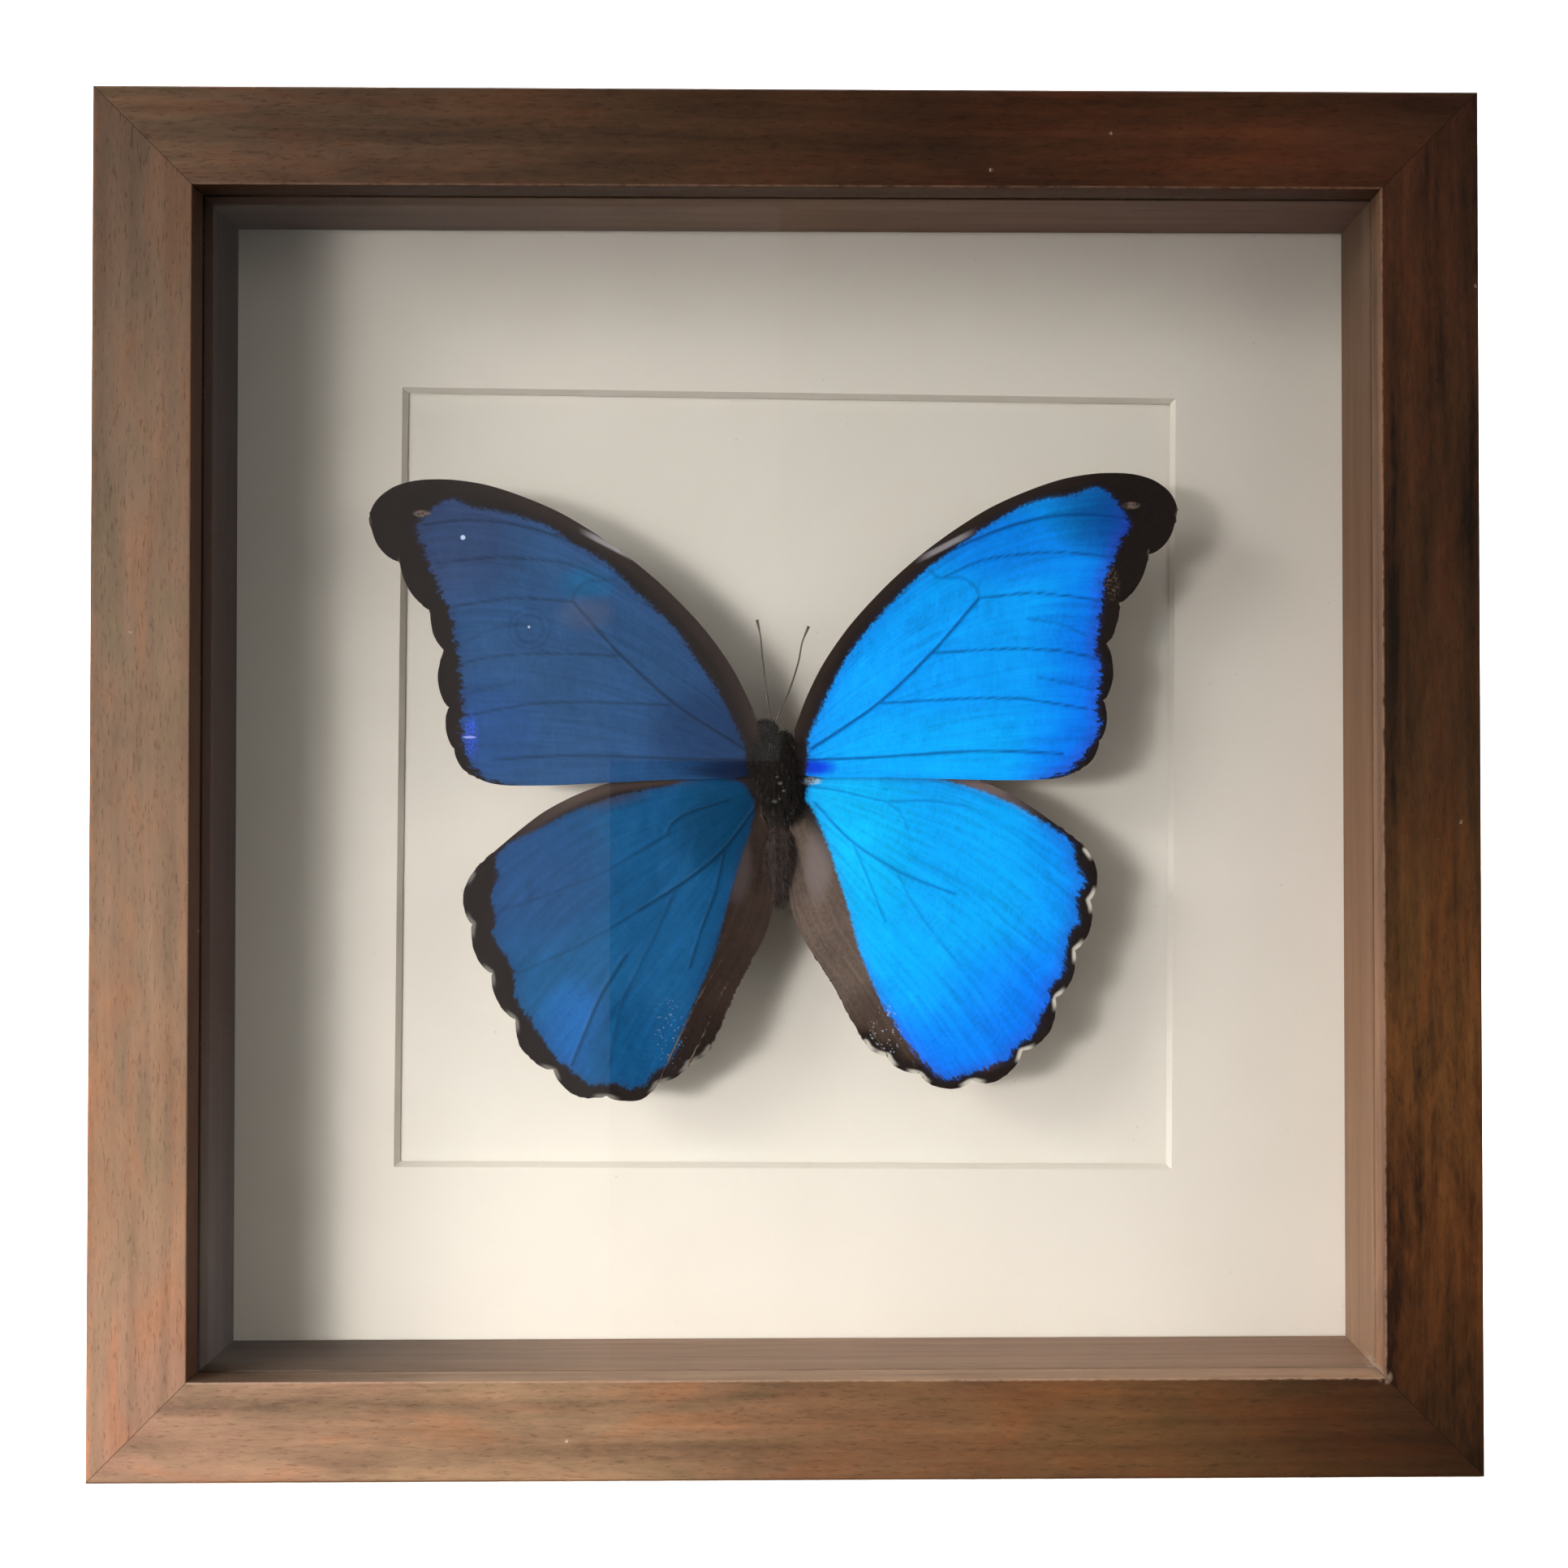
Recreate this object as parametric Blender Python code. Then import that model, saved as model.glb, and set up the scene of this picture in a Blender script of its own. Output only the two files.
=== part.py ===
"""Framed butterfly specimen: a square walnut shadow box with a blue morpho mounted behind glass.

Metres, +Z up. The glazed front faces -Y and the box stands on the underside of its bottom rail.
The origin is the middle of that underside. Depths in the box are measured back from the front face.
"""

import math

import bmesh
import bpy
from mathutils import Matrix, Vector

MM = 0.001

# ---------------------------------------------------------------- driving dimensions
FRAME_SIDE = 250 * MM
FRAME_DEPTH = 40 * MM
FACE_WIDTH = 18 * MM
LIP_THICKNESS = 6.5 * MM
RABBET_WIDTH = 6 * MM
EDGE_ROUND = 0.9 * MM
LIP_ROUND = 0.5 * MM
FIT_GAP = 0.3 * MM
MITRE_GAP = 0.3 * MM
SIDES = ("top", "right", "bottom", "left")

GLASS_THICKNESS = 2 * MM
SPACER_DEPTH = 22.2 * MM
MAT_THICKNESS = 1.4 * MM
MAT_WINDOW = 150 * MM
MAT_BEVEL = 0.7 * MM
CARD_THICKNESS = 1.5 * MM
BACKBOARD_THICKNESS = 3 * MM
PANEL_ROUND = 0.15 * MM

TAB_SIZE = (8 * MM, 0.5 * MM, 14 * MM)
TAB_BITE = 4.5 * MM
TAB_SPREAD = 60 * MM
TAB_ROUND = 0.1 * MM

HANGER_SIZE = (42 * MM, 0.8 * MM, 9 * MM)
HANGER_TOOTH = 2.4 * MM
HANGER_NOTCH = 1.92 * MM
HANGER_TEETH = 9
HANGER_TOOTHED_SHARE = 0.62
NAIL_SPREAD = 34 * MM
NAIL_SHANK_RADIUS = 0.6 * MM
NAIL_HEAD_RADIUS = 1.6 * MM
NAIL_HEAD_THICKNESS = 0.7 * MM
NAIL_LENGTH = 9 * MM
NAIL_DROP = 5.5 * MM
NAIL_IN_HEAD = 0.25 * MM

BODY_AXIS_X = -2.4 * MM
WING_THICKNESS = 0.4 * MM
ANTENNA_RADIUS = 0.16 * MM
POST_RADIUS = 3 * MM

# ---------------------------------------------------------------- worked-out places
HALF = FRAME_SIDE / 2
FRONT_Y = -FRAME_DEPTH / 2
BACK_Y = FRAME_DEPTH / 2
CENTRE_Z = HALF
RABBET_HALF = HALF - FACE_WIDTH + RABBET_WIDTH
PANEL_HALF = RABBET_HALF - FIT_GAP
GLASS_Y = FRONT_Y + LIP_THICKNESS + FIT_GAP
SPACER_Y = GLASS_Y + GLASS_THICKNESS + FIT_GAP
MAT_Y = SPACER_Y + SPACER_DEPTH + FIT_GAP
CARD_Y = MAT_Y + MAT_THICKNESS + FIT_GAP
BACKBOARD_Y = CARD_Y + CARD_THICKNESS + FIT_GAP
TAB_Y = BACKBOARD_Y + BACKBOARD_THICKNESS + FIT_GAP
NAIL_Z = FRAME_SIDE - NAIL_DROP
NAIL_PLACES = {"left": -NAIL_SPREAD / 2, "right": NAIL_SPREAD / 2}

# ---------------------------------------------------------------- the butterfly, in millimetres
# Outlines of the wings on the right of the body: distance out from the body's axis, height above
# the box's centre. A scalloped margin is a list of notches, each with how far the lobe after it
# stands out, as a share of the lobe's own length.
FOREWING_COSTA = [
    (3.7, 9.6), (5.8, 16.0), (9.0, 22.5), (14.0, 29.4), (20.7, 36.5), (27.0, 42.0), (33.3, 46.6),
    (40.2, 50.8), (47.5, 54.0), (54.0, 56.1), (60.6, 57.1), (66.7, 57.0), (71.0, 55.8),
    (73.9, 53.6), (75.3, 51.0),
]
FOREWING_NOTCHES = [
    (74.9, 49.1, 0.19), (69.7, 41.8, 0.14), (64.2, 32.8, 0.12), (61.7, 25.2, 0.16),
    (61.0, 14.5, 0.15), (60.2, 7.0, 0.13), (57.4, 2.2, 0.0),
]
FOREWING_TRAIL = [
    (54.4, 0.6), (50.7, -0.1), (42.0, -0.2), (33.0, 0.1), (22.0, 0.5), (9.0, 0.7), (3.7, 2.2),
]

HINDWING_COSTA = [
    (3.9, -2.4), (8.0, 0.3), (19.0, 1.8), (30.0, 1.2), (37.0, -0.8), (43.3, -3.7), (47.9, -6.8),
    (52.4, -10.3), (55.9, -13.2),
]
HINDWING_NOTCHES = [
    (57.2, -14.7, 0.19), (57.8, -24.4, 0.17), (54.4, -33.7, 0.17), (50.4, -42.4, 0.22),
    (43.8, -51.9, 0.24), (34.2, -57.2, 0.24), (24.6, -55.4, 0.14), (18.6, -52.0, 0.14), (14.6, -49.4, 0.0),
]
HINDWING_TRAIL = [
    (12.0, -44.6), (9.1, -38.5), (6.4, -34.0), (3.9, -29.8), (2.2, -25.4), (1.4, -20.5), (1.3, -14.0),
    (2.2, -9.0), (3.9, -6.4),
]

FOREWING_ROOT = (3.7, 5.0)
HINDWING_ROOT = (3.9, -4.4)
FOREWING_TURN = {"right": 0.7, "left": -0.7}
HINDWING_TURN = {"right": 2.4, "left": -2.4}
SPAN_STEPS = 2
LOBE_STEPS = 5

# The body is stacks of ovals: height above the centre, half width, half depth, lift off the mat.
THORAX = [
    (-7.0, 1.6, 1.4, 10.4), (-5.6, 2.5, 2.4, 10.6), (-2.5, 3.2, 3.2, 10.9), (1.5, 3.4, 3.5, 11.1),
    (5.0, 3.2, 3.2, 11.2), (7.4, 2.3, 2.4, 11.3), (8.4, 1.4, 1.5, 11.4),
]
HEAD = [
    (8.7, 1.2, 1.2, 11.5), (9.3, 1.8, 1.6, 11.6), (10.3, 2.0, 1.7, 11.7), (11.3, 1.6, 1.4, 11.8),
    (11.9, 0.8, 0.8, 11.8),
]
ABDOMEN = [
    (-20.6, 0.7, 0.7, 8.3), (-19.2, 1.4, 1.3, 8.3), (-15.5, 2.1, 2.0, 8.3), (-11.0, 2.6, 2.4, 8.5),
    (-8.4, 2.4, 2.2, 8.8), (-7.3, 1.6, 1.4, 9.2),
]
# Each antenna: distance from the axis, height above the centre, lift off the mat.
ANTENNAE = {
    "left": [(-0.9, 12.3, 12.0), (-1.7, 17.0, 12.6), (-2.8, 22.8, 13.0), (-3.9, 30.4, 13.2)],
    "right": [(0.7, 12.2, 12.0), (2.3, 17.0, 12.6), (4.1, 23.2, 13.0), (5.8, 29.2, 13.2)],
}
THORAX_UNDERSIDE = 7.6 * MM
# How far each wing stands off the mat at its root, how much it rises on the way out, how much it
# dips: the forewing along its trailing edge, the hindwing where it meets the body.
FOREWING_LIFT = 13.4
FOREWING_RISE = 0.026
FOREWING_DIP = 0.5
HINDWING_LIFT = 12.5
HINDWING_RISE = 0.016
HINDWING_DIP = 0.7


# ---------------------------------------------------------------- general helpers
def clear_scene():
    for old in list(bpy.data.objects):
        bpy.data.objects.remove(old, do_unlink=True)


def material(name, colour, roughness, metallic=0.0, transmission=0.0):
    made = bpy.data.materials.new(name)
    made.use_nodes = True
    shader = made.node_tree.nodes["Principled BSDF"]
    shader.inputs["Base Color"].default_value = (*colour, 1.0)
    shader.inputs["Roughness"].default_value = roughness
    shader.inputs["Metallic"].default_value = metallic
    shader.inputs["Transmission Weight"].default_value = transmission
    return made


def add_object(name, mesh, finish):
    made = bpy.data.objects.new(name, mesh)
    made.data.materials.append(finish)
    bpy.context.scene.collection.objects.link(made)
    return made


def mesh_from(name, bm):
    bmesh.ops.recalc_face_normals(bm, faces=bm.faces)
    mesh = bpy.data.meshes.new(name)
    bm.to_mesh(mesh)
    bm.free()
    return mesh


def box_mesh(name, low, high):
    bm = bmesh.new()
    bmesh.ops.create_cube(bm, size=1.0)
    size = [b - a for a, b in zip(low, high)]
    middle = [(a + b) / 2 for a, b in zip(low, high)]
    bmesh.ops.scale(bm, vec=size, verts=bm.verts)
    bmesh.ops.translate(bm, vec=middle, verts=bm.verts)
    return mesh_from(name, bm)


def bevel(owner, width, segments=2):
    added = owner.modifiers.new("edge_round", "BEVEL")
    added.width = width
    added.segments = segments
    added.limit_method = "ANGLE"
    return added


def cut(owner, cutter, operation="DIFFERENCE"):
    cutter.hide_render = True
    cutter.display_type = "WIRE"
    added = owner.modifiers.new("cut_by_" + cutter.name, "BOOLEAN")
    added.operation = operation
    added.solver = "EXACT"
    added.object = cutter


def smooth(owner, angle=40):
    owner.data.shade_smooth()
    owner.data.set_sharp_from_angle(angle=math.radians(angle))


# ---------------------------------------------------------------- the frame
def mitred_rail_mesh(name, profile, side):
    """A bar along one side of the square. profile holds (distance in from the outside, depth)."""
    bm = bmesh.new()
    shorten = MITRE_GAP / 2 * math.sqrt(2)
    ends = []
    for end in (-1, 1):
        loop = []
        for inward, depth in profile:
            reach = end * (HALF - inward - shorten)
            height = HALF - inward
            loop.append(bm.verts.new(turned_to(side, reach, FRONT_Y + depth, height)))
        ends.append(loop)
        bm.faces.new(loop)
    count = len(profile)
    for i in range(count):
        j = (i + 1) % count
        bm.faces.new((ends[0][i], ends[0][j], ends[1][j], ends[1][i]))
    return mesh_from(name, bm)


def turned_to(side, along, depth, height):
    """Places a point of the top bar, given about the box's centre, on any of the four sides."""
    places = {
        "top": (along, height),
        "bottom": (-along, -height),
        "left": (-height, along),
        "right": (height, -along),
    }
    x, z = places[side]
    return Vector((x, depth, z + CENTRE_Z))


def arc(centre, radius, start, stop, steps=3):
    points = []
    for i in range(steps + 1):
        angle = math.radians(start + (stop - start) * i / steps)
        points.append((centre[0] + radius * math.cos(angle), centre[1] + radius * math.sin(angle)))
    return points


def rail_profile():
    """The rail's section: a flat face, a rounded lip edge and the rabbet behind the lip."""
    wall = FACE_WIDTH - RABBET_WIDTH
    lip_edge = arc((FACE_WIDTH - LIP_ROUND, LIP_ROUND), LIP_ROUND, -90, 0)
    rabbet = [(FACE_WIDTH, LIP_THICKNESS), (wall, LIP_THICKNESS), (wall, FRAME_DEPTH)]
    return [(0, 0), *lip_edge, *rabbet, (0, FRAME_DEPTH)]


def envelope(helper):
    """The finished outside of the joined frame, with every outer edge eased."""
    low = (-HALF, FRONT_Y, 0)
    high = (HALF, BACK_Y, FRAME_SIDE)
    made = add_object("eased_outside", box_mesh("eased_outside", low, high), helper)
    bevel(made, EDGE_ROUND, 3)
    return made


def tab_places(side):
    """The two glazier's tabs of one side: a name and how far along the side each one is."""
    return [(f"flex_tab_{side}_{i + 1}", along) for i, along in enumerate((-TAB_SPREAD, TAB_SPREAD))]


def oriented_box(name, side, along, depths, heights, half_width):
    """A box on one side of the frame, from its middle along the side and its height from the centre."""
    corners = []
    for u in (along - half_width, along + half_width):
        for depth in depths:
            for height in heights:
                corners.append(turned_to(side, u, depth, height))
    low = [min(c[i] for c in corners) for i in range(3)]
    high = [max(c[i] for c in corners) for i in range(3)]
    return box_mesh(name, low, high)


def frame_rails(walnut, helper):
    outside = envelope(helper)
    for side in SIDES:
        rail = add_object(f"frame_rail_{side}", mitred_rail_mesh("rail", rail_profile(), side), walnut)
        cut(rail, outside, "INTERSECT")
        for name, along in tab_places(side):
            depths = (TAB_Y - FIT_GAP, TAB_Y + TAB_SIZE[1] + FIT_GAP)
            heights = (RABBET_HALF - MM, RABBET_HALF + TAB_BITE + FIT_GAP)
            half_width = TAB_SIZE[0] / 2 + FIT_GAP
            slot = oriented_box("slot", side, along, depths, heights, half_width)
            cut(rail, add_object("slot_" + name, slot, helper))
        if side == "top":
            for name, x in NAIL_PLACES.items():
                depths = (BACK_Y - NAIL_LENGTH - FIT_GAP, BACK_Y + MM)
                radius = NAIL_SHANK_RADIUS + FIT_GAP
                cut(rail, round_bar(f"nail_hole_{name}", radius, (x, NAIL_Z), depths, helper))
        smooth(rail, 30)


def panel(name, front_y, thickness, finish, half=PANEL_HALF):
    low = (-half, front_y, CENTRE_Z - half)
    high = (half, front_y + thickness, CENTRE_Z + half)
    made = add_object(name, box_mesh(name, low, high), finish)
    bevel(made, PANEL_ROUND, 1)
    return made


def spacers(finish):
    """Four fillets between glass and mat, flush with the lip, mitred like the rails."""
    start = SPACER_Y - FRONT_Y
    stop = start + SPACER_DEPTH
    outer = FACE_WIDTH - RABBET_WIDTH + FIT_GAP
    profile = [(outer, start), (FACE_WIDTH, start), (FACE_WIDTH, stop), (outer, stop)]
    for side in SIDES:
        add_object(f"spacer_{side}", mitred_rail_mesh("spacer", profile, side), finish)


def window_mat(finish):
    """A square board with a square window, its edge cut on a slant."""
    bm = bmesh.new()
    halves = (
        (PANEL_HALF, MAT_Y),
        (PANEL_HALF, MAT_Y + MAT_THICKNESS),
        (MAT_WINDOW / 2 - MAT_BEVEL, MAT_Y + MAT_THICKNESS),
        (MAT_WINDOW / 2, MAT_Y),
    )
    rings = []
    for half, depth in halves:
        corners = ((-half, half), (half, half), (half, -half), (-half, -half))
        rings.append([bm.verts.new((x, depth, z + CENTRE_Z)) for x, z in corners])
    for k in range(4):
        here, there = rings[k], rings[(k + 1) % 4]
        for i in range(4):
            j = (i + 1) % 4
            bm.faces.new((here[i], here[j], there[j], there[i]))
    add_object("window_mat", mesh_from("window_mat", bm), finish)


def flex_tabs(steel):
    """Thin steel blades pushed into the rabbet's wall behind the backboard."""
    for side in SIDES:
        for name, along in tab_places(side):
            heights = (RABBET_HALF + TAB_BITE - TAB_SIZE[2], RABBET_HALF + TAB_BITE)
            depths = (TAB_Y, TAB_Y + TAB_SIZE[1])
            blade = oriented_box(name, side, along, depths, heights, TAB_SIZE[0] / 2)
            bevel(add_object(name, blade, steel), TAB_ROUND, 1)


def sawtooth_hanger(steel, helper):
    """A toothed strip across the back of the top rail, held by two nails."""
    width, thickness, height = HANGER_SIZE
    top = NAIL_Z + height / 2 - MM
    bottom = top - height
    bm = bmesh.new()
    outline = [(-width / 2, top), (width / 2, top), (width / 2, bottom + HANGER_TOOTH)]
    toothed = width * HANGER_TOOTHED_SHARE
    pitch = toothed / HANGER_TEETH
    for i in range(HANGER_TEETH):
        right = toothed / 2 - i * pitch
        outline.append((right, bottom + HANGER_TOOTH))
        outline.append((right - pitch / 2, bottom + HANGER_TOOTH + HANGER_NOTCH))
    outline.append((-toothed / 2, bottom + HANGER_TOOTH))
    outline.append((-width / 2, bottom + HANGER_TOOTH))
    near = BACK_Y + FIT_GAP
    verts = [bm.verts.new((x, near, z)) for x, z in outline]
    face = bm.faces.new(verts)
    grown = bmesh.ops.extrude_face_region(bm, geom=[face])
    moved = [v for v in grown["geom"] if isinstance(v, bmesh.types.BMVert)]
    bmesh.ops.translate(bm, vec=(0, thickness, 0), verts=moved)
    strip = add_object("sawtooth_hanger", mesh_from("sawtooth_hanger", bm), steel)
    head_y = near + thickness + FIT_GAP
    for side, x in NAIL_PLACES.items():
        place = (x, NAIL_Z)
        through = (near - MM, near + thickness + MM)
        cut(strip, round_bar(f"strip_hole_{side}", NAIL_SHANK_RADIUS + FIT_GAP, place, through, helper))
        length = (BACK_Y - NAIL_LENGTH, head_y + NAIL_IN_HEAD)
        shank = round_bar(f"hanger_nail_{side}", NAIL_SHANK_RADIUS, place, length, steel)
        cap = (head_y, head_y + NAIL_HEAD_THICKNESS)
        cut(shank, round_bar(f"nail_head_{side}", NAIL_HEAD_RADIUS, place, cap, helper), "UNION")
        smooth(shank)


def round_bar(name, radius, place, depths, finish, sides=16):
    """A round bar lying along Y: its x and z, and the depths where it starts and stops."""
    x, z = place
    near, far = depths
    bm = bmesh.new()
    bmesh.ops.create_cone(
        bm, cap_ends=True, segments=sides, radius1=radius, radius2=radius, depth=far - near
    )
    bmesh.ops.rotate(bm, verts=bm.verts, matrix=Matrix.Rotation(math.radians(90), 3, "X"))
    bmesh.ops.translate(bm, verts=bm.verts, vec=(x, (near + far) / 2, z))
    return add_object(name, mesh_from(name, bm), finish)


# ---------------------------------------------------------------- the butterfly
def curve_through(points, per_span):
    """Points along a smooth curve through the given ones, the last one left out."""
    made = []
    for i in range(len(points) - 1):
        a = Vector(points[max(i - 1, 0)])
        b = Vector(points[i])
        c = Vector(points[i + 1])
        d = Vector(points[min(i + 2, len(points) - 1)])
        for k in range(per_span):
            t = k / per_span
            pull_b = (c - a) / 2
            pull_c = (d - b) / 2
            made.append(
                b * (2 * t**3 - 3 * t**2 + 1)
                + pull_b * (t**3 - 2 * t**2 + t)
                + c * (3 * t**2 - 2 * t**3)
                + pull_c * (t**3 - t**2)
            )
    return made


def scallops(notches, per_lobe):
    """The lobed margin: between two notches the edge swells out in a round-shouldered lobe."""
    made = []
    for (x0, z0, swell), (x1, z1, _) in zip(notches, notches[1:]):
        start, stop = Vector((x0, z0)), Vector((x1, z1))
        chord = stop - start
        outward = Vector((-chord.y, chord.x))
        for k in range(per_lobe):
            t = k / per_lobe
            made.append(start + chord * t + outward * swell * math.sin(math.pi * t) ** 0.7)
    return made


def wing_outline(costa, notches, trail, per_span, per_lobe):
    front_edge = curve_through([*costa, notches[0][:2]], per_span)
    back_edge = curve_through([notches[-1][:2], *trail], per_span)
    return [*front_edge, *scallops(notches, per_lobe), *back_edge, Vector(trail[-1])]


def forewing_lift(x, z):
    """How far the wing stands off the mat, in millimetres, over one point of it."""
    reach = math.hypot(x - FOREWING_ROOT[0], z - FOREWING_ROOT[1])
    droop = max(0.0, 0.62 * x + 14.0 - z) / 40
    return FOREWING_LIFT + FOREWING_RISE * reach - FOREWING_DIP * (1 - min(1.0, droop)) ** 2


def hindwing_lift(x, z):
    reach = math.hypot(x - HINDWING_ROOT[0], z - HINDWING_ROOT[1])
    near_body = math.exp(-(((x + 0.12 * z) / 9) ** 2))
    return HINDWING_LIFT + HINDWING_RISE * reach - HINDWING_DIP * near_body


def wing(name, side, outline, root, turn, lift, finish):
    """A thin plate cut to the outline, its edge following the wing's gentle arch."""
    bm = bmesh.new()
    angle = math.radians(turn)
    c, s = math.cos(angle), math.sin(angle)
    hand = 1 if side == "right" else -1
    sheets = []
    for thickness in (0, WING_THICKNESS):
        loop = []
        for px, pz in outline:
            dx, dz = px - root[0], pz - root[1]
            x = BODY_AXIS_X + hand * (root[0] + c * dx - s * dz) * MM
            z = CENTRE_Z + (root[1] + s * dx + c * dz) * MM
            loop.append(bm.verts.new((x, MAT_Y - lift(px, pz) * MM + thickness, z)))
        bm.faces.new(loop)
        sheets.append(loop)
    front, back = sheets
    for i in range(len(outline)):
        j = (i + 1) % len(outline)
        bm.faces.new((front[i], front[j], back[j], back[i]))
    bm.normal_update()
    bmesh.ops.triangulate(bm, faces=bm.faces, ngon_method="BEAUTY")
    made = add_object(name, mesh_from(name, bm), finish)
    smooth(made, 30)


def body_part(name, sections, finish, sides=14):
    """A stack of ovals along the body: (height, half width, half depth, centre's lift off the mat)."""
    bm = bmesh.new()
    rings = []
    for z, half_width, half_depth, lift in sections:
        ring = []
        for i in range(sides):
            angle = 2 * math.pi * i / sides
            x = BODY_AXIS_X + half_width * math.cos(angle) * MM
            y = MAT_Y - (lift + half_depth * math.sin(angle)) * MM
            ring.append(bm.verts.new((x, y, CENTRE_Z + z * MM)))
        rings.append(ring)
    for lower, upper in zip(rings, rings[1:]):
        for i in range(sides):
            j = (i + 1) % sides
            bm.faces.new((lower[i], lower[j], upper[j], upper[i]))
    bm.faces.new(rings[0])
    bm.faces.new(rings[-1])
    made = add_object(name, mesh_from(name, bm), finish)
    smooth(made)


def antenna(name, points, finish):
    """A fine stalk that swells into a slim club over its last stretch."""
    curve = bpy.data.curves.new(name, "CURVE")
    curve.dimensions = "3D"
    curve.bevel_depth = ANTENNA_RADIUS
    curve.bevel_resolution = 1
    curve.use_fill_caps = True
    path = curve_through(points, 6) + [Vector(points[-1])]
    spline = curve.splines.new("POLY")
    spline.points.add(len(path) - 1)
    for i, (place, point) in enumerate(zip(path, spline.points)):
        x, z, lift = place
        point.co = (BODY_AXIS_X + x * MM, MAT_Y - lift * MM, CENTRE_Z + z * MM, 1)
        share = i / (len(path) - 1)
        point.radius = 1 + 0.9 * max(0.0, (share - 0.8) / 0.2)
    made = bpy.data.objects.new(name, curve)
    made.data.materials.append(finish)
    bpy.context.scene.collection.objects.link(made)


def butterfly(blue, dark, cork):
    fore = wing_outline(FOREWING_COSTA, FOREWING_NOTCHES, FOREWING_TRAIL, SPAN_STEPS, LOBE_STEPS)
    hind = wing_outline(HINDWING_COSTA, HINDWING_NOTCHES, HINDWING_TRAIL, SPAN_STEPS, LOBE_STEPS)
    for side in ("right", "left"):
        wing(f"forewing_{side}", side, fore, FOREWING_ROOT, FOREWING_TURN[side], forewing_lift, blue)
        wing(f"hindwing_{side}", side, hind, HINDWING_ROOT, HINDWING_TURN[side], hindwing_lift, blue)
        antenna(f"antenna_{side}", ANTENNAE[side], dark)
    body_part("thorax", THORAX, dark)
    body_part("head", HEAD, dark)
    body_part("abdomen", ABDOMEN, dark)
    depths = (MAT_Y - THORAX_UNDERSIDE + 2 * FIT_GAP, CARD_Y - FIT_GAP)
    smooth(round_bar("cork_post", POST_RADIUS, (BODY_AXIS_X, CENTRE_Z + MM), depths, cork))


# ---------------------------------------------------------------- the whole box
def main():
    clear_scene()
    helper = material("helper", (1, 1, 1), 1.0)
    walnut = material("walnut", (0.10, 0.055, 0.03), 0.45)
    fillet = material("fillet", (0.12, 0.08, 0.055), 0.5)
    glass = material("glass", (0.95, 0.97, 0.96), 0.02, transmission=1.0)
    board = material("mat_board", (0.80, 0.77, 0.68), 0.9)
    hardboard = material("hardboard", (0.30, 0.19, 0.11), 0.8)
    steel = material("steel", (0.55, 0.55, 0.56), 0.35, metallic=1.0)
    blue = material("wing", (0.02, 0.22, 0.75), 0.35, metallic=0.4)
    dark = material("body", (0.03, 0.022, 0.016), 0.9)
    cork = material("cork", (0.45, 0.29, 0.16), 0.9)
    frame_rails(walnut, helper)
    panel("glass_pane", GLASS_Y, GLASS_THICKNESS, glass)
    spacers(fillet)
    window_mat(board)
    panel("mount_card", CARD_Y, CARD_THICKNESS, board)
    panel("backboard", BACKBOARD_Y, BACKBOARD_THICKNESS, hardboard)
    flex_tabs(steel)
    sawtooth_hanger(steel, helper)
    butterfly(blue, dark, cork)


main()
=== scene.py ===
# %% [markdown]
# # A blue butterfly in a shadow box
# This notebook rebuilds a square hardwood shadow box with a spread blue butterfly behind its glass.
# A plain solid model of the box is loaded first. It says where every part sits, so nothing here
# is placed by eye: each finished piece takes its size and place from the solid that it stands for.

import math

import bpy
import numpy as np
from mathutils import Matrix, Vector, noise


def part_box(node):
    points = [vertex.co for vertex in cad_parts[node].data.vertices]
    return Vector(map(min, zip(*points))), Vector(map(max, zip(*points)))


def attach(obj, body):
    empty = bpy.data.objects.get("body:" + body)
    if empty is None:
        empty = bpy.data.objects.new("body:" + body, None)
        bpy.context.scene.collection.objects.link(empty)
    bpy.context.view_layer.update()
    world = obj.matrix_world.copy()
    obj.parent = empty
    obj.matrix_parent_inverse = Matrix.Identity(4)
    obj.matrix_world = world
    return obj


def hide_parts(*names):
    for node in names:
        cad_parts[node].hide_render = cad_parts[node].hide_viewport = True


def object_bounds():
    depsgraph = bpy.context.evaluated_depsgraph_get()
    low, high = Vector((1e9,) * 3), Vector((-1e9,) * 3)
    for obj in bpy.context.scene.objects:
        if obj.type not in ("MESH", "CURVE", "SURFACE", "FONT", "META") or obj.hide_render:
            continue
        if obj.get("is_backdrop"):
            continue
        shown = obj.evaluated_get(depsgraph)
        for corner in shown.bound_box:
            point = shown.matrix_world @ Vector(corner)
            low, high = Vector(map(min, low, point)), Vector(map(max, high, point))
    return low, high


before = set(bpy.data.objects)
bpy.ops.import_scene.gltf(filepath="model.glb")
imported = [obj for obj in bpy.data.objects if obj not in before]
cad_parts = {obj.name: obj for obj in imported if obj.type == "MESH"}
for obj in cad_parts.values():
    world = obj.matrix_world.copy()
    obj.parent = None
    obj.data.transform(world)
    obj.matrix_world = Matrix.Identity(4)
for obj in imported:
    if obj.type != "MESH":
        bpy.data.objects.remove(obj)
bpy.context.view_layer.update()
MM = 0.001

# %% [markdown]
# ## Where things are
# The frame, glass and mat are all flat layers stacked along Y. Reading their boxes gives the depths
# of the stack, the middle of the picture, and the widths of the moulding.

# %% Measure the solid model
top_low, top_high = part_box("frame_rail_top")
glass_low, glass_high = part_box("glass_pane")
mat_low, mat_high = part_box("window_mat")
card_low, card_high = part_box("mount_card")
board_low, board_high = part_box("backboard")
spacer_low, spacer_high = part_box("spacer_top")
thorax_low, thorax_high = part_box("thorax")

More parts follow.
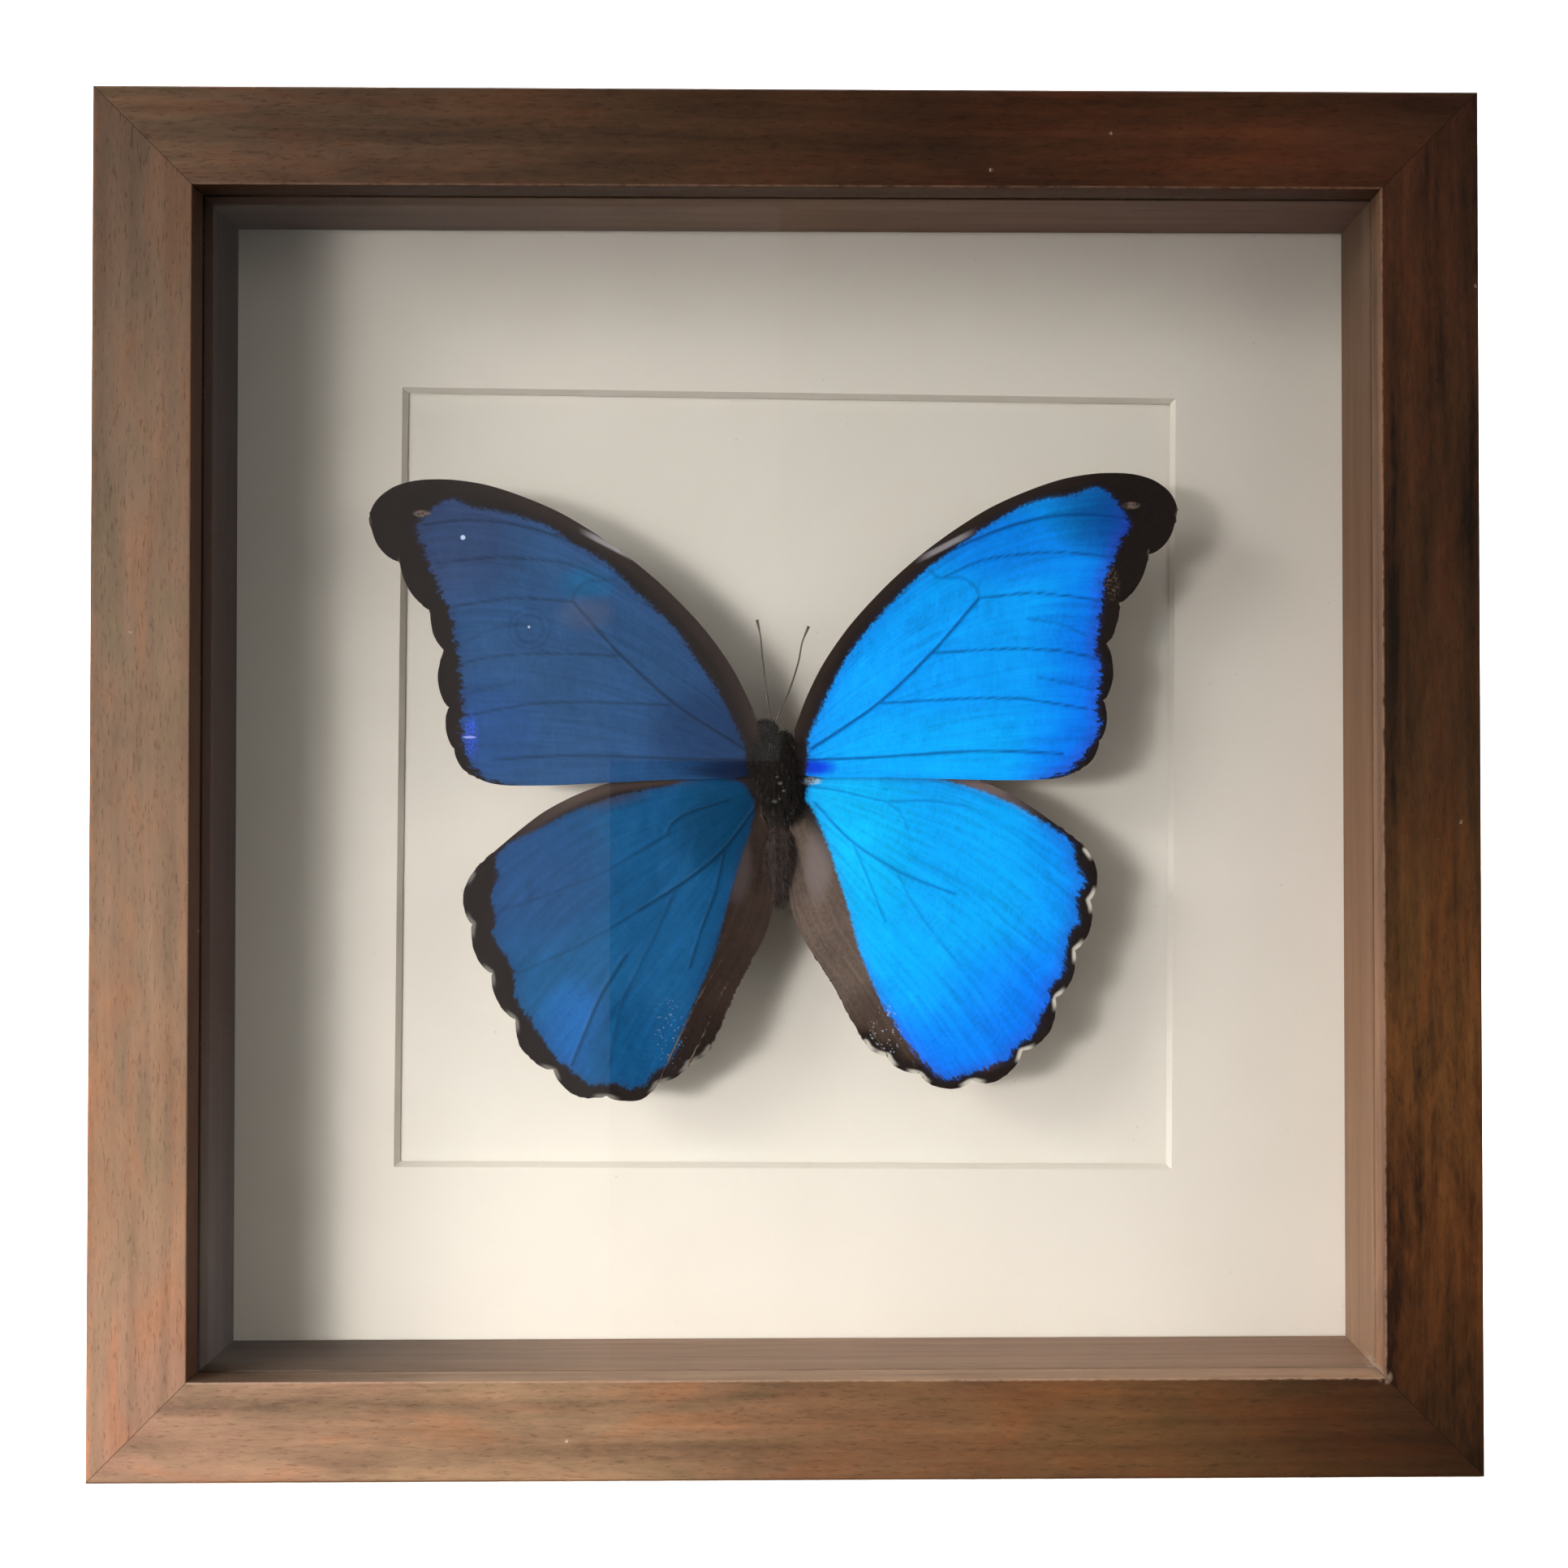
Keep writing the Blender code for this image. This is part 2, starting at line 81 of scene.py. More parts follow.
front_y = top_low.y
back_y = top_high.y
centre_z = (glass_low.z + glass_high.z) / 2
half = top_high.z - centre_z
face_width = top_high.z - top_low.z
wall = half - (spacer_high.z - centre_z) - 0.3 * MM
lip_y = glass_low.y - 0.3 * MM
mat_y = mat_low.y
axis_x = (thorax_low.x + thorax_high.x) / 2
print("half side", round(half, 4), "face", round(face_width, 4), "rail wall", round(wall, 4))

# %% [markdown]
# ## Tools for modelling
# Operators act on whatever is selected, so a clean start matters. These helpers do what a hand
# would do with the mouse: start with nothing selected, pick faces or edges by where they are,
# and apply a modifier once it has done its work.

# %% Selection and modifier helpers


def begin():
    if bpy.context.mode != "OBJECT":
        bpy.ops.object.mode_set(mode="OBJECT")
    bpy.ops.object.select_all(action="DESELECT")


def pick(piece):
    begin()
    piece.select_set(True)
    bpy.context.view_layer.objects.active = piece


def block(name, low, high):
    begin()
    middle = (Vector(low) + Vector(high)) / 2
    bpy.ops.mesh.primitive_cube_add(size=1, location=middle, scale=Vector(high) - Vector(low))
    piece = bpy.context.object
    piece.name = piece.data.name = name
    settle(piece)
    return piece


def settle(piece):
    """Moves the piece's place into its mesh, so that the object itself sits at the origin."""
    pick(piece)
    bpy.ops.object.transform_apply(location=True, rotation=True, scale=True)


def select_edges(piece, wanted):
    """Selects the edges whose middle and direction pass the test, and enters edit mode."""
    pick(piece)
    bpy.ops.object.mode_set(mode="EDIT")
    bpy.ops.mesh.select_mode(type="EDGE")
    bpy.ops.mesh.select_all(action="DESELECT")
    bpy.ops.object.mode_set(mode="OBJECT")
    points = piece.data.vertices
    for edge in piece.data.edges:
        a, b = (points[i].co for i in edge.vertices)
        edge.select = bool(wanted((a + b) / 2, (b - a).normalized()))
    bpy.ops.object.mode_set(mode="EDIT")


def select_faces(piece, wanted):
    """Selects the faces whose middle and normal pass the test, and enters edit mode."""
    pick(piece)
    bpy.ops.object.mode_set(mode="EDIT")
    bpy.ops.mesh.select_mode(type="FACE")
    bpy.ops.mesh.select_all(action="DESELECT")
    bpy.ops.object.mode_set(mode="OBJECT")
    for face in piece.data.polygons:
        face.select = bool(wanted(face.center, face.normal))
    bpy.ops.object.mode_set(mode="EDIT")


def apply_modifier(piece, kind, **settings):
    pick(piece)
    made = piece.modifiers.new(kind.lower(), kind)
    for key, value in settings.items():
        setattr(made, key, value)
    bpy.ops.object.modifier_apply(modifier=made.name)


def near(a, b, slack=0.02 * MM):
    return abs(a - b) < slack


def tidy_normals(piece):
    select_faces(piece, lambda middle, normal: True)
    bpy.ops.mesh.remove_doubles(threshold=0.001 * MM)
    bpy.ops.mesh.normals_make_consistent(inside=False)
    bpy.ops.object.mode_set(mode="OBJECT")


def finish_piece(piece, material, stands_for, angle=30):
    """Gives the piece its finish and hides the solid parts that it stands for."""
    pick(piece)
    bpy.ops.object.shade_smooth_by_angle(angle=math.radians(angle))
    if angle <= 30:
        apply_modifier(piece, "WEIGHTED_NORMAL", weight=100, keep_sharp=True)
    piece.data.materials.clear()
    piece.data.materials.append(material)
    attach(piece, "root")
    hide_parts(*stands_for)
    print(f"{piece.name}: {sum(len(f.vertices) - 2 for f in piece.data.polygons)} triangles")


# %% [markdown]
# ## Tools for materials
# A material is a small network of nodes. Writing it as sums is easier to read than wiring it, so
# `Signal` wraps a socket and turns ordinary arithmetic into Math nodes. `Finish` makes the
# material itself and any other node in it.

# %% A little language for shader nodes


class Signal:
    """A value flowing through a material. Arithmetic on it adds Math nodes."""

    def __init__(self, finish, socket):
        self.finish = finish
        self.socket = socket

    def maths(self, operation, *values, clamp=False):
        return self.finish.node("ShaderNodeMath", {"operation": operation, "use_clamp": clamp}, values)

    def __add__(self, other):
        return self.maths("ADD", self, other)

    def __sub__(self, other):
        return self.maths("SUBTRACT", self, other)

    def __rsub__(self, other):
        return self.maths("SUBTRACT", other, self)

    def __mul__(self, other):
        return self.maths("MULTIPLY", self, other)

    def __truediv__(self, other):
        return self.maths("DIVIDE", self, other)

    def __abs__(self):
        return self.maths("ABSOLUTE", self)

    def larger(self, other):
        return self.maths("MAXIMUM", self, other)

    def smaller(self, other):
        return self.maths("MINIMUM", self, other)

    def clamp(self):
        return self.maths("ADD", self, 0.0, clamp=True)

    def between(self, low, high):
        """0 below low and 1 above high, with a smooth step from one to the other."""
        settings = {"interpolation_type": "SMOOTHSTEP"}
        return self.finish.node("ShaderNodeMapRange", settings, {0: self, 1: low, 2: high, 3: 0.0, 4: 1.0})

    __radd__ = __add__
    __rmul__ = __mul__


class Finish:
    """A material in the making, with one Principled shader."""

    def __init__(self, name, **fixed):
        self.material = bpy.data.materials.new(name)
        self.material.use_nodes = True
        self.tree = self.material.node_tree
        self.shader = self.tree.nodes["Principled BSDF"]
        for key, value in fixed.items():
            self.shader.inputs[key.replace("_", " ").title().replace("Ior", "IOR")].default_value = value

    def node(self, kind, settings=None, values=(), out=0):
        made = self.tree.nodes.new(kind)
        for key, value in (settings or {}).items():
            if key != "stops":
                setattr(made, key, value)
                continue
            for index, (at, colour) in enumerate(value):
                stop = made.color_ramp.elements[index] if index < 2 else made.color_ramp.elements.new(at)
                stop.position, stop.color = at, (*colour, 1.0)
        pairs = values.items() if isinstance(values, dict) else enumerate(values)
        for key, value in pairs:
            if isinstance(value, Signal):
                self.tree.links.new(value.socket, made.inputs[key])
            else:
                made.inputs[key].default_value = value
        return Signal(self, made.outputs[out])

    def place(self):
        """Where the point is on the object, in millimetres, as three signals."""
        spot = self.node("ShaderNodeTexCoord", out="Object")
        self.spot = self.node("ShaderNodeVectorMath", {"operation": "SCALE"}, {0: spot, "Scale": 1 / MM})
        return [self.node("ShaderNodeSeparateXYZ", None, [self.spot], out=axis) for axis in range(3)]

    def vector(self, x, y, z):
        return self.node("ShaderNodeCombineXYZ", None, [x, y, z])

    def noise(self, vector, scale=1.0, detail=3.0, roughness=0.5, distortion=0.0):
        values = {"Vector": vector, "Scale": scale, "Detail": detail, "Roughness": roughness, "Distortion": distortion}
        return self.node("ShaderNodeTexNoise", None, values)

    def cells(self, vector, scale=1.0):
        return self.node("ShaderNodeTexVoronoi", None, {"Vector": vector, "Scale": scale})

    def ramp(self, share, stops):
        return self.node("ShaderNodeValToRGB", {"stops": stops}, [share])

    def tint(self, share, colour, factor):
        """Multiplies the colour by the factor, where share is 1."""
        return self.mix(share, colour, factor, "MULTIPLY")

    def attribute(self, name):
        return self.node("ShaderNodeAttribute", {"attribute_name": name}, out="Fac")

    def mix(self, share, first, second, way="MIX"):
        first, second = ((*c, 1.0) if isinstance(c, tuple) else c for c in (first, second))
        settings = {"data_type": "RGBA", "blend_type": way}
        return self.node("ShaderNodeMix", settings, {0: share, 6: first, 7: second}, out=2)

    def set(self, **signals):
        for key, signal in signals.items():
            self.tree.links.new(signal.socket, self.shader.inputs[key.replace("_", " ").title()])

    def bump(self, height, distance, strength=1.0):
        values = {"Strength": strength, "Distance": distance, "Height": height}
        self.set(normal=self.node("ShaderNodeBump", None, values))


# %% [markdown]
# ## Camera, floor and light
# The box stands upright on a pale floor and is seen almost straight on, from two hand spans away.
# A low window on the left throws the butterfly's shadow to the right across the mat. Narrow beams
# aimed at the foot of the box keep its top dimmer than its foot. Weak lamps fill the rest.

# %% Camera
camera = bpy.data.objects.new("camera", bpy.data.cameras.new("camera"))
bpy.context.scene.collection.objects.link(camera)
camera.location = (8.3 * MM, front_y - 390.9 * MM, centre_z - 4.8 * MM)
camera.rotation_euler = (math.radians(90) + 0.0167, 0.0003, -0.0155)
camera.data.lens = 50
camera.data.sensor_width = 36
camera.data.shift_x = -0.0539
camera.data.shift_y = -0.0083
camera.data.clip_start = 0.01
bpy.context.scene.camera = camera
bpy.context.scene.view_settings.view_transform = "Standard"

# %% Floor and backdrop in one sweep
begin()
bpy.ops.mesh.primitive_plane_add(size=8, location=(0, -1.0, 0))
floor = bpy.context.object
floor.scale.x = 2.5
settle(floor)
floor.name = "floor"
select_edges(floor, lambda middle, way: middle.y > 2.9)
bpy.ops.mesh.extrude_region_move(TRANSFORM_OT_translate={"value": (0, 0, 7)})
bpy.ops.object.mode_set(mode="OBJECT")
select_edges(floor, lambda middle, way: near(middle.z, 0) and middle.y > 2.9)
bpy.ops.mesh.bevel(offset=1.2, segments=10, affect="EDGES")
bpy.ops.object.mode_set(mode="OBJECT")
settle(floor)
bpy.ops.object.shade_smooth()
paper = Finish("pale_sweep", roughness=0.9)
x, y, z = paper.place()
paper.set(base_color=paper.mix(paper.noise(paper.spot, 0.02), (0.90, 0.90, 0.89), (0.93, 0.93, 0.92)))
floor.data.materials.append(paper.material)
floor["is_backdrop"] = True

# %% [markdown]
# The paper has a lamp to itself, through light linking, so it can be near white while the box
# keeps its soft, uneven window light. It neither shines back on the box nor shows in the glass.

# %% Light for the paper alone
floor.visible_diffuse = False
floor.visible_glossy = False
floor.visible_transmission = False
paper_only = bpy.data.collections.new("paper_only")
paper_only.objects.link(floor)
overhead = bpy.data.objects.new("overhead", bpy.data.lights.new("overhead", "AREA"))
bpy.context.scene.collection.objects.link(overhead)
overhead.location = (0, -1.4, 5.0)
overhead.data.shape = "RECTANGLE"
overhead.data.size, overhead.data.size_y = 16.0, 8.0
overhead.data.energy = 1500
overhead.light_linking.receiver_collection = paper_only
overhead.visible_camera = overhead.visible_glossy = overhead.visible_transmission = False

# %% Lights


def softbox(name, across, heights, distance, aim, watts, spread=180, colour=(1, 1, 1), lights=True):
    """A flat lamp that fills the opening between two x values and two heights, facing its aim."""
    place = Vector((sum(across) / 2, -distance, sum(heights) / 2))
    lamp = bpy.data.objects.new(name, bpy.data.lights.new(name, "AREA"))
    bpy.context.scene.collection.objects.link(lamp)
    lamp.location = place
    way = (Vector(aim) - place).normalized()
    lamp.rotation_euler = way.to_track_quat("-Z", "Y").to_euler()
    lamp.data.shape = "RECTANGLE"
    level = math.hypot(way.x, way.y)
    lamp.data.size = (across[1] - across[0]) * abs(way.y) / level
    lamp.data.size_y = (heights[1] - heights[0]) * level
    lamp.data.energy = watts
    lamp.data.spread = math.radians(spread)
    lamp.data.color = colour
    lamp.visible_camera = False
    lamp.visible_transmission = False
    lamp.visible_diffuse = lights
    return lamp


DAYLIGHT = (1.0, 0.975, 0.960)
foot = (-0.10, 0, -0.02)
softbox("window_inner", (-0.90, -0.675), (0.01, 0.275), 1.5, foot, 0.09, 22, DAYLIGHT)
softbox("window_middle", (-1.17, -0.90), (0.01, 0.275), 1.5, foot, 0.24, 22, DAYLIGHT)
softbox("window_outer", (-1.425, -1.17), (0.01, 0.275), 1.5, foot, 0.11, 24, DAYLIGHT)
softbox("window_above", (-1.275, -0.57), (0.725, 1.475), 1.5, (-0.1, 0, -0.05), 0.04, 30, (1.0, 0.93, 0.85))
softbox("window_side", (-1.9, -0.92), (0.425, 1.025), 1.0, (-0.05, 0, -0.05), 0.60, 36, (1.0, 1.0, 0.98))
softbox("wall_right", (0.40, 1.60), (0.10, 0.75), 1.2, (-0.05, 0, 0), 0.38, 60, (1.0, 0.98, 0.90))
softbox("backdrop", (-1.6, 1.6), (2.2, 2.6), -0.9, (0, 1.7, 0.3), 75, 120)

# %% [markdown]
# Glass always mirrors something. Two faint panels behind the camera, which light nothing, give the
# pale veil over its left side and its top. A dark cloth fills the rest of the mirror image, where
# the person at the camera would stand. The camera and the lamps don't see the cloth.

# %% What the glass mirrors
cloth_left, cloth_top, far = -0.160, 0.155, 1.25
softbox("pale_wall_left", (-0.62, cloth_left), (-0.60, 0.80), far, (-0.39, 0, 0.10), 0.70, 180, (1, 0.96, 0.93), False)
softbox("pale_wall_top", (cloth_left, -0.033), (cloth_top, 0.80), far, (-0.0965, 0, 0.4775), 0.07, 180, (1, 0.96, 0.93), False)
begin()
bpy.ops.mesh.primitive_plane_add(size=1, location=(0.0, -far - 0.05, 0.1), rotation=(math.radians(90), 0, 0), scale=(1, 1, 1))
cloth = bpy.context.object
cloth.name = "dark_cloth"
cloth.scale = (2.4, 1.4, 1)
settle(cloth)
felt = Finish("dark_felt", roughness=0.95)
felt.place()
felt.set(base_color=felt.mix(felt.noise(felt.spot, 0.3), (0.006, 0.006, 0.007), (0.012, 0.012, 0.013)))
cloth.data.materials.append(felt.material)
for sight in ("camera", "diffuse", "transmission", "shadow"):
    setattr(cloth, f"visible_{sight}", False)
cloth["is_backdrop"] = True
world = bpy.data.worlds.new("studio")
world.use_nodes = True
world.node_tree.nodes["Background"].inputs["Color"].default_value = (1.0, 0.58, 0.26, 1)
world.node_tree.nodes["Background"].inputs["Strength"].default_value = 0.29
bpy.context.scene.world = world
world.cycles_visibility.transmission = False

# %% [markdown]
# ## Stained wood
# The moulding is an open-pored hardwood with a brown stain. Its colour drifts along each rail, from
# pale copper to nearly black, so a colour ramp along the length comes first. The drift is partly the
# stain's own and partly painted light, brightest at the lower left towards the window and darkest
# towards the top right. Noises stretched along the grain then darken and lighten it in broad
# streaks, fine fibres and short pores, and a few patches turn redder or greyer. A thin pale line
# along the lip is partly rubbed wear and partly a painted edge highlight. The inner face of the lip
# and the rabbet wall carry painted light and shade: lit on the right and bottom rails, shaded on the
# left and top.

# %% The stained wood finish


def stained_wood(name, along, stain_and_light_tones, lip_lit_and_shaded_tones, seed, worn_and_highlight_colour, contrast=1.0, rim_wear_and_light=0.0):
    """along is the axis of the grain. Both lists are colour stops from left to right or foot to top."""
    wood = Finish(name, roughness=0.6, specular_ior_level=0.22, coat_weight=0.03, coat_roughness=0.3)
    x, y, z = wood.place()
    rise = z - centre_z / MM
    length, across = (x, rise) if along == "X" else (rise, x)
    patch = wood.noise(wood.vector(length / 26 + seed, across / 9, y / 9), 1, 4, 0.6, 0.8)
    tinge = wood.noise(wood.vector(length / 30 + seed + 9, across / 8, y / 8), 1, 4, 0.6, 0.8)
    streak = wood.noise(wood.vector(length / 90 + seed, across / 5.5, y / 5.5), 1, 4, 0.6, 0.4)
    grain = wood.noise(wood.vector(length / 4.0 + seed, across / 0.95, y / 0.95), 1, 4, 0.72, 0.3)
    pores = wood.noise(wood.vector(length / 2.2, across / 0.42 + seed, y / 0.42), 1, 2, 0.6)
    share = length / (2 * half / MM) + 0.5
    # Painted light: the ramp mixes the stain's own drift with light falling off from the lower left.
    colour = wood.ramp(share + (patch - 0.5) * 0.12, stain_and_light_tones)
    shade = ((streak - 0.5) * 2.4 + (patch - 0.5) * 1.2 + (grain - 0.5) * 0.9) * contrast + 1.0
    colour = wood.tint(1.0, colour, shade.larger(0.25))
    colour = wood.tint(tinge.between(0.48, 0.68), colour, (1.14, 0.98, 0.88))
    colour = wood.tint((1.0 - tinge).between(0.50, 0.68), colour, (0.87, 0.95, 0.90))
    pore = pores.between(0.56, 0.72)
    colour = wood.tint(pore * 0.45, colour, (0.45, 0.42, 0.40))

    reach = abs(x).larger(abs(rise))
    lip = half / MM - face_width / MM
    rub = wood.noise(wood.spot, 0.35, 4, 0.7)
    behind = y.between(lip_y / MM - 0.1, lip_y / MM + 0.1) * (1.0 - y.between(glass_high.y / MM, glass_high.y / MM + 1.0))
    inner_face = (1.0 - reach.between(lip + 0.10, lip + 0.30)).larger(behind)
    # Painted light and shade: the inner face of the lip and the rabbet wall take a lit tone on the right and bottom
    # rails and a shaded one on the left and top.
    lip_lit_and_shaded_colour = wood.tint(1.0, wood.ramp(share, lip_lit_and_shaded_tones), (shade * 0.6 + 0.4).larger(0.3))
    colour = wood.mix(inner_face, colour, lip_lit_and_shaded_colour)
    front = 1.0 - (y - front_y / MM).between(0.4, 1.2)
    # A thin pale line along the lip edge: partly wear, partly a painted highlight, paler on the lit rails.
    lip_wear_and_highlight = (1.0 - abs(reach - (lip + 0.25)).between(0.05, 0.30)) * rub.between(0.30, 0.62) * front
    colour = wood.mix(lip_wear_and_highlight * 0.7, colour, worn_and_highlight_colour)
    dx, dz = x - lip, rise + lip
    filler = (1.0 - (dx * dx + dz * dz).between(0.3, 2.6)) * rub.between(0.38, 0.55)
    colour = wood.mix(filler * 0.65, colour, (0.38, 0.31, 0.24))
    joint = 1.0 - abs(abs(x) - abs(rise)).between(0.04, 0.16)
    colour = wood.tint(joint * 0.85, colour, (0.25, 0.22, 0.20))
    # The outer edge lightened: partly wear, partly a painted highlight, strongest on the left rail that faces the
    # window.
    rim_wear_and_highlight = reach.between(half / MM - 1.6, half / MM - 0.3) * rub.between(0.40, 0.62)
    colour = wood.tint(rim_wear_and_highlight * rim_wear_and_light, colour, (1.6, 1.12, 0.80))
    speck = wood.cells(wood.spot, 0.11)
    dust = (1.0 - speck.between(0.025, 0.05)) * rub.between(0.5, 0.62)
    colour = wood.mix(dust * 0.8, colour, (0.62, 0.58, 0.52))
    return wood, colour, {"x": x, "y": y, "rise": rise, "grain": grain, "streak": streak, "pore": pore, "reach": reach}


def close_wood(wood, colour, parts):
    grain, pore = parts["grain"], parts["pore"]
    wood.set(base_color=colour, roughness=grain * 0.25 + 0.42 + pore * 0.2)
    wood.bump(grain * 0.6 + parts["streak"] * 0.5 - pore * 1.0, 0.09 * MM, 0.5)
    return wood.material


# %% [markdown]
# ## The four rails
# A rail starts as a plain bar. A bisect marks the depth of the lip, and the strip in front of
# that line is pulled inwards by an extrude, which leaves the rabbet that the glass drops into.
# Two slanted bisects cut the mitres. The edges are then eased as a sander would ease them.
# All four are modelled as the top rail and turned into place.

# %% Model and turn the rails
TURNS = {"top": 0, "right": 90, "bottom": 180, "left": 270}


def mitre(piece):
    """Cuts both ends of a bar that lies along X at the top of the square. The joint is tight."""
    for end in (-1, 1):
        select_faces(piece, lambda middle, normal: True)
        spot = (0, 0, centre_z + 0.003 * MM)
        bpy.ops.mesh.bisect(
            plane_co=spot, plane_no=(end, 0, -1), use_fill=True, clear_outer=True, threshold=0.001 * MM
        )
        bpy.ops.object.mode_set(mode="OBJECT")


def turn_to(piece, side):
    """Turns a finished top bar about the middle of the box."""
    angle = math.radians(TURNS[side])
    middle = Vector((0, 0, centre_z))
    piece.rotation_euler = (0, angle, 0)
    piece.location = middle - Matrix.Rotation(angle, 3, "Y") @ middle
    settle(piece)


def ease(piece, wanted, width, segments=3):
    select_edges(piece, wanted)
    bpy.ops.mesh.bevel(offset=width, segments=segments, affect="EDGES")
    bpy.ops.object.mode_set(mode="OBJECT")


def rail(side):
    z_out, z_in = centre_z + half, centre_z + half - wall
    piece = block(f"rail_{side}", (-half, front_y, z_in), (half, back_y, z_out))
    select_faces(piece, lambda middle, normal: True)
    bpy.ops.mesh.bisect(plane_co=(0, lip_y, 0), plane_no=(0, 1, 0))
    bpy.ops.object.mode_set(mode="OBJECT")
    select_faces(piece, lambda middle, normal: normal.z < -0.9 and middle.y < lip_y)
    lip_reach = face_width - wall
    bpy.ops.mesh.extrude_region_move(TRANSFORM_OT_translate={"value": (0, 0, -lip_reach)})
    bpy.ops.object.mode_set(mode="OBJECT")
    mitre(piece)
    lengthways = lambda way: abs(way.x) > 0.99
    ease(piece, lambda m, way: lengthways(way) and near(m.z, z_out), 0.8 * MM)
    ease(piece, lambda m, way: lengthways(way) and near(m.y, front_y) and near(m.z, z_out - face_width), 0.45 * MM, 2)
    tidy_normals(piece)
    turn_to(piece, side)
    return piece


# %% Give each rail its own colours
# Each ramp holds the stain's own tones with painted light on them: brightest towards the lower left, nearest the
# window, and darkest towards the top right.
RAIL_STAIN_AND_LIGHT_TONES = {
    "top": [(0.0, (0.181, 0.116, 0.075)), (0.14, (0.098, 0.063, 0.042)), (0.42, (0.068, 0.035, 0.018)),
            (0.62, (0.054, 0.02, 0.009)), (0.84, (0.077, 0.028, 0.013)), (1.0, (0.054, 0.021, 0.013))],
    "right": [(0.0, (0.036, 0.015, 0.005)), (0.16, (0.093, 0.033, 0.009)), (0.3, (0.13, 0.057, 0.017)),
              (0.52, (0.046, 0.022, 0.009)), (0.66, (0.038, 0.016, 0.007)),
              (0.8, (0.059, 0.024, 0.011)), (1.0, (0.055, 0.02, 0.012))],
    "bottom": [(0.0, (0.33, 0.2, 0.14)), (0.24, (0.31, 0.2, 0.125)), (0.37, (0.3, 0.194, 0.118)),
               (0.5, (0.2, 0.11, 0.06)), (0.74, (0.14, 0.072, 0.03)), (0.88, (0.066, 0.029, 0.011)),
               (1.0, (0.028, 0.011, 0.004))],
    "left": [(0.0, (0.37, 0.22, 0.155)), (0.22, (0.28, 0.181, 0.116)), (0.5, (0.24, 0.16, 0.106)),
             (0.76, (0.2, 0.142, 0.101)), (1.0, (0.141, 0.095, 0.07))],
}
# Painted light and shade on the inner face of the lip: lit on the right and bottom, shaded on the left and top.
LIP_LIT_AND_SHADED_TONES = {
    "top": [(0.0, (0.050, 0.030, 0.024)), (0.5, (0.092, 0.052, 0.036)), (1.0, (0.080, 0.038, 0.026))],
    "right": [(0.0, (0.32, 0.170, 0.100)), (0.5, (0.25, 0.140, 0.080)), (1.0, (0.19, 0.110, 0.064))],
    "bottom": [(0.0, (0.10, 0.07, 0.05)), (0.12, (0.17, 0.115, 0.08)), (0.26, (0.44, 0.31, 0.22)),
               (1.0, (0.50, 0.335, 0.23))],
    "left": [(0.0, (0.135, 0.070, 0.048)), (0.5, (0.100, 0.055, 0.041)), (1.0, (0.072, 0.040, 0.033))],
}
# Per rail: the grain axis, the colour of the pale lip line (wear with a painted highlight, paler on the lit right and
# bottom rails), the grain contrast, and how strongly the outer edge is lightened by wear and a painted highlight, most
# on the left rail that faces the window.
RAIL_LOOKS = {
    "top": ("X", (0.22, 0.15, 0.12), 0.95, 0.0),
    "right": ("Z", (0.36, 0.23, 0.17), 1.55, 0.1),
    "bottom": ("X", (0.46, 0.33, 0.25), 0.8, 0.0),
    "left": ("Z", (0.20, 0.12, 0.085), 0.5, 0.6),
}
for seed, side in enumerate(TURNS):
    along, worn_and_highlight_colour, contrast, rim_wear_and_light = RAIL_LOOKS[side]
    wood, colour, parts = stained_wood(
        f"walnut_{side}", along, RAIL_STAIN_AND_LIGHT_TONES[side], LIP_LIT_AND_SHADED_TONES[side], seed * 7.3 + 1.7, worn_and_highlight_colour, contrast, rim_wear_and_light
    )
    finish_piece(rail(side), close_wood(wood, colour, parts), [f"frame_rail_{side}"])

# %% [markdown]
# ## The fillets
# Four thin strips of the same wood hold the mat away from the glass and line the inside of the
# box. They are plain bars with mitred ends. A little dust has settled on them. Their colour ramps
# carry painted light and shade: lit on the right strip and the right part of the bottom one, shaded
# on the left strip and towards the left ends of the top and bottom ones.

# %% Model the fillets


def fillet(side):
    touch = glass_high.y + 0.02 * MM
    piece = block(f"fillet_{side}", (-half, touch, spacer_low.z), (half, spacer_high.y, spacer_high.z))
    mitre(piece)
    ease(piece, lambda m, way: abs(way.x) > 0.99 and near(m.z, spacer_low.z), 0.25 * MM, 2)
    tidy_normals(piece)
    turn_to(piece, side)
    return piece


# Painted light and shade along each fillet, lit towards the right and bottom, shaded towards the left and top.
FILLET_LIT_AND_SHADED_TONES = {
    "top": [(0.0, (0.072, 0.042, 0.032)), (0.5, (0.21, 0.12, 0.076)), (1.0, (0.21, 0.124, 0.099))],
    "right": [(0.0, (0.29, 0.174, 0.109)), (0.35, (0.23, 0.118, 0.062)), (0.7, (0.161, 0.08, 0.039)),
              (1.0, (0.171, 0.104, 0.065))],
    "bottom": [(0.0, (0.058, 0.038, 0.028)), (0.18, (0.134, 0.088, 0.06)), (0.36, (0.3, 0.191, 0.132)),
               (1.0, (0.32, 0.2, 0.139))],
    "left": [(0.0, (0.13, 0.105, 0.105)), (0.16, (0.12, 0.09, 0.082)), (0.34, (0.066, 0.028, 0.018)),
             (0.7, (0.042, 0.015, 0.007)), (1.0, (0.031, 0.011, 0.004))],
}


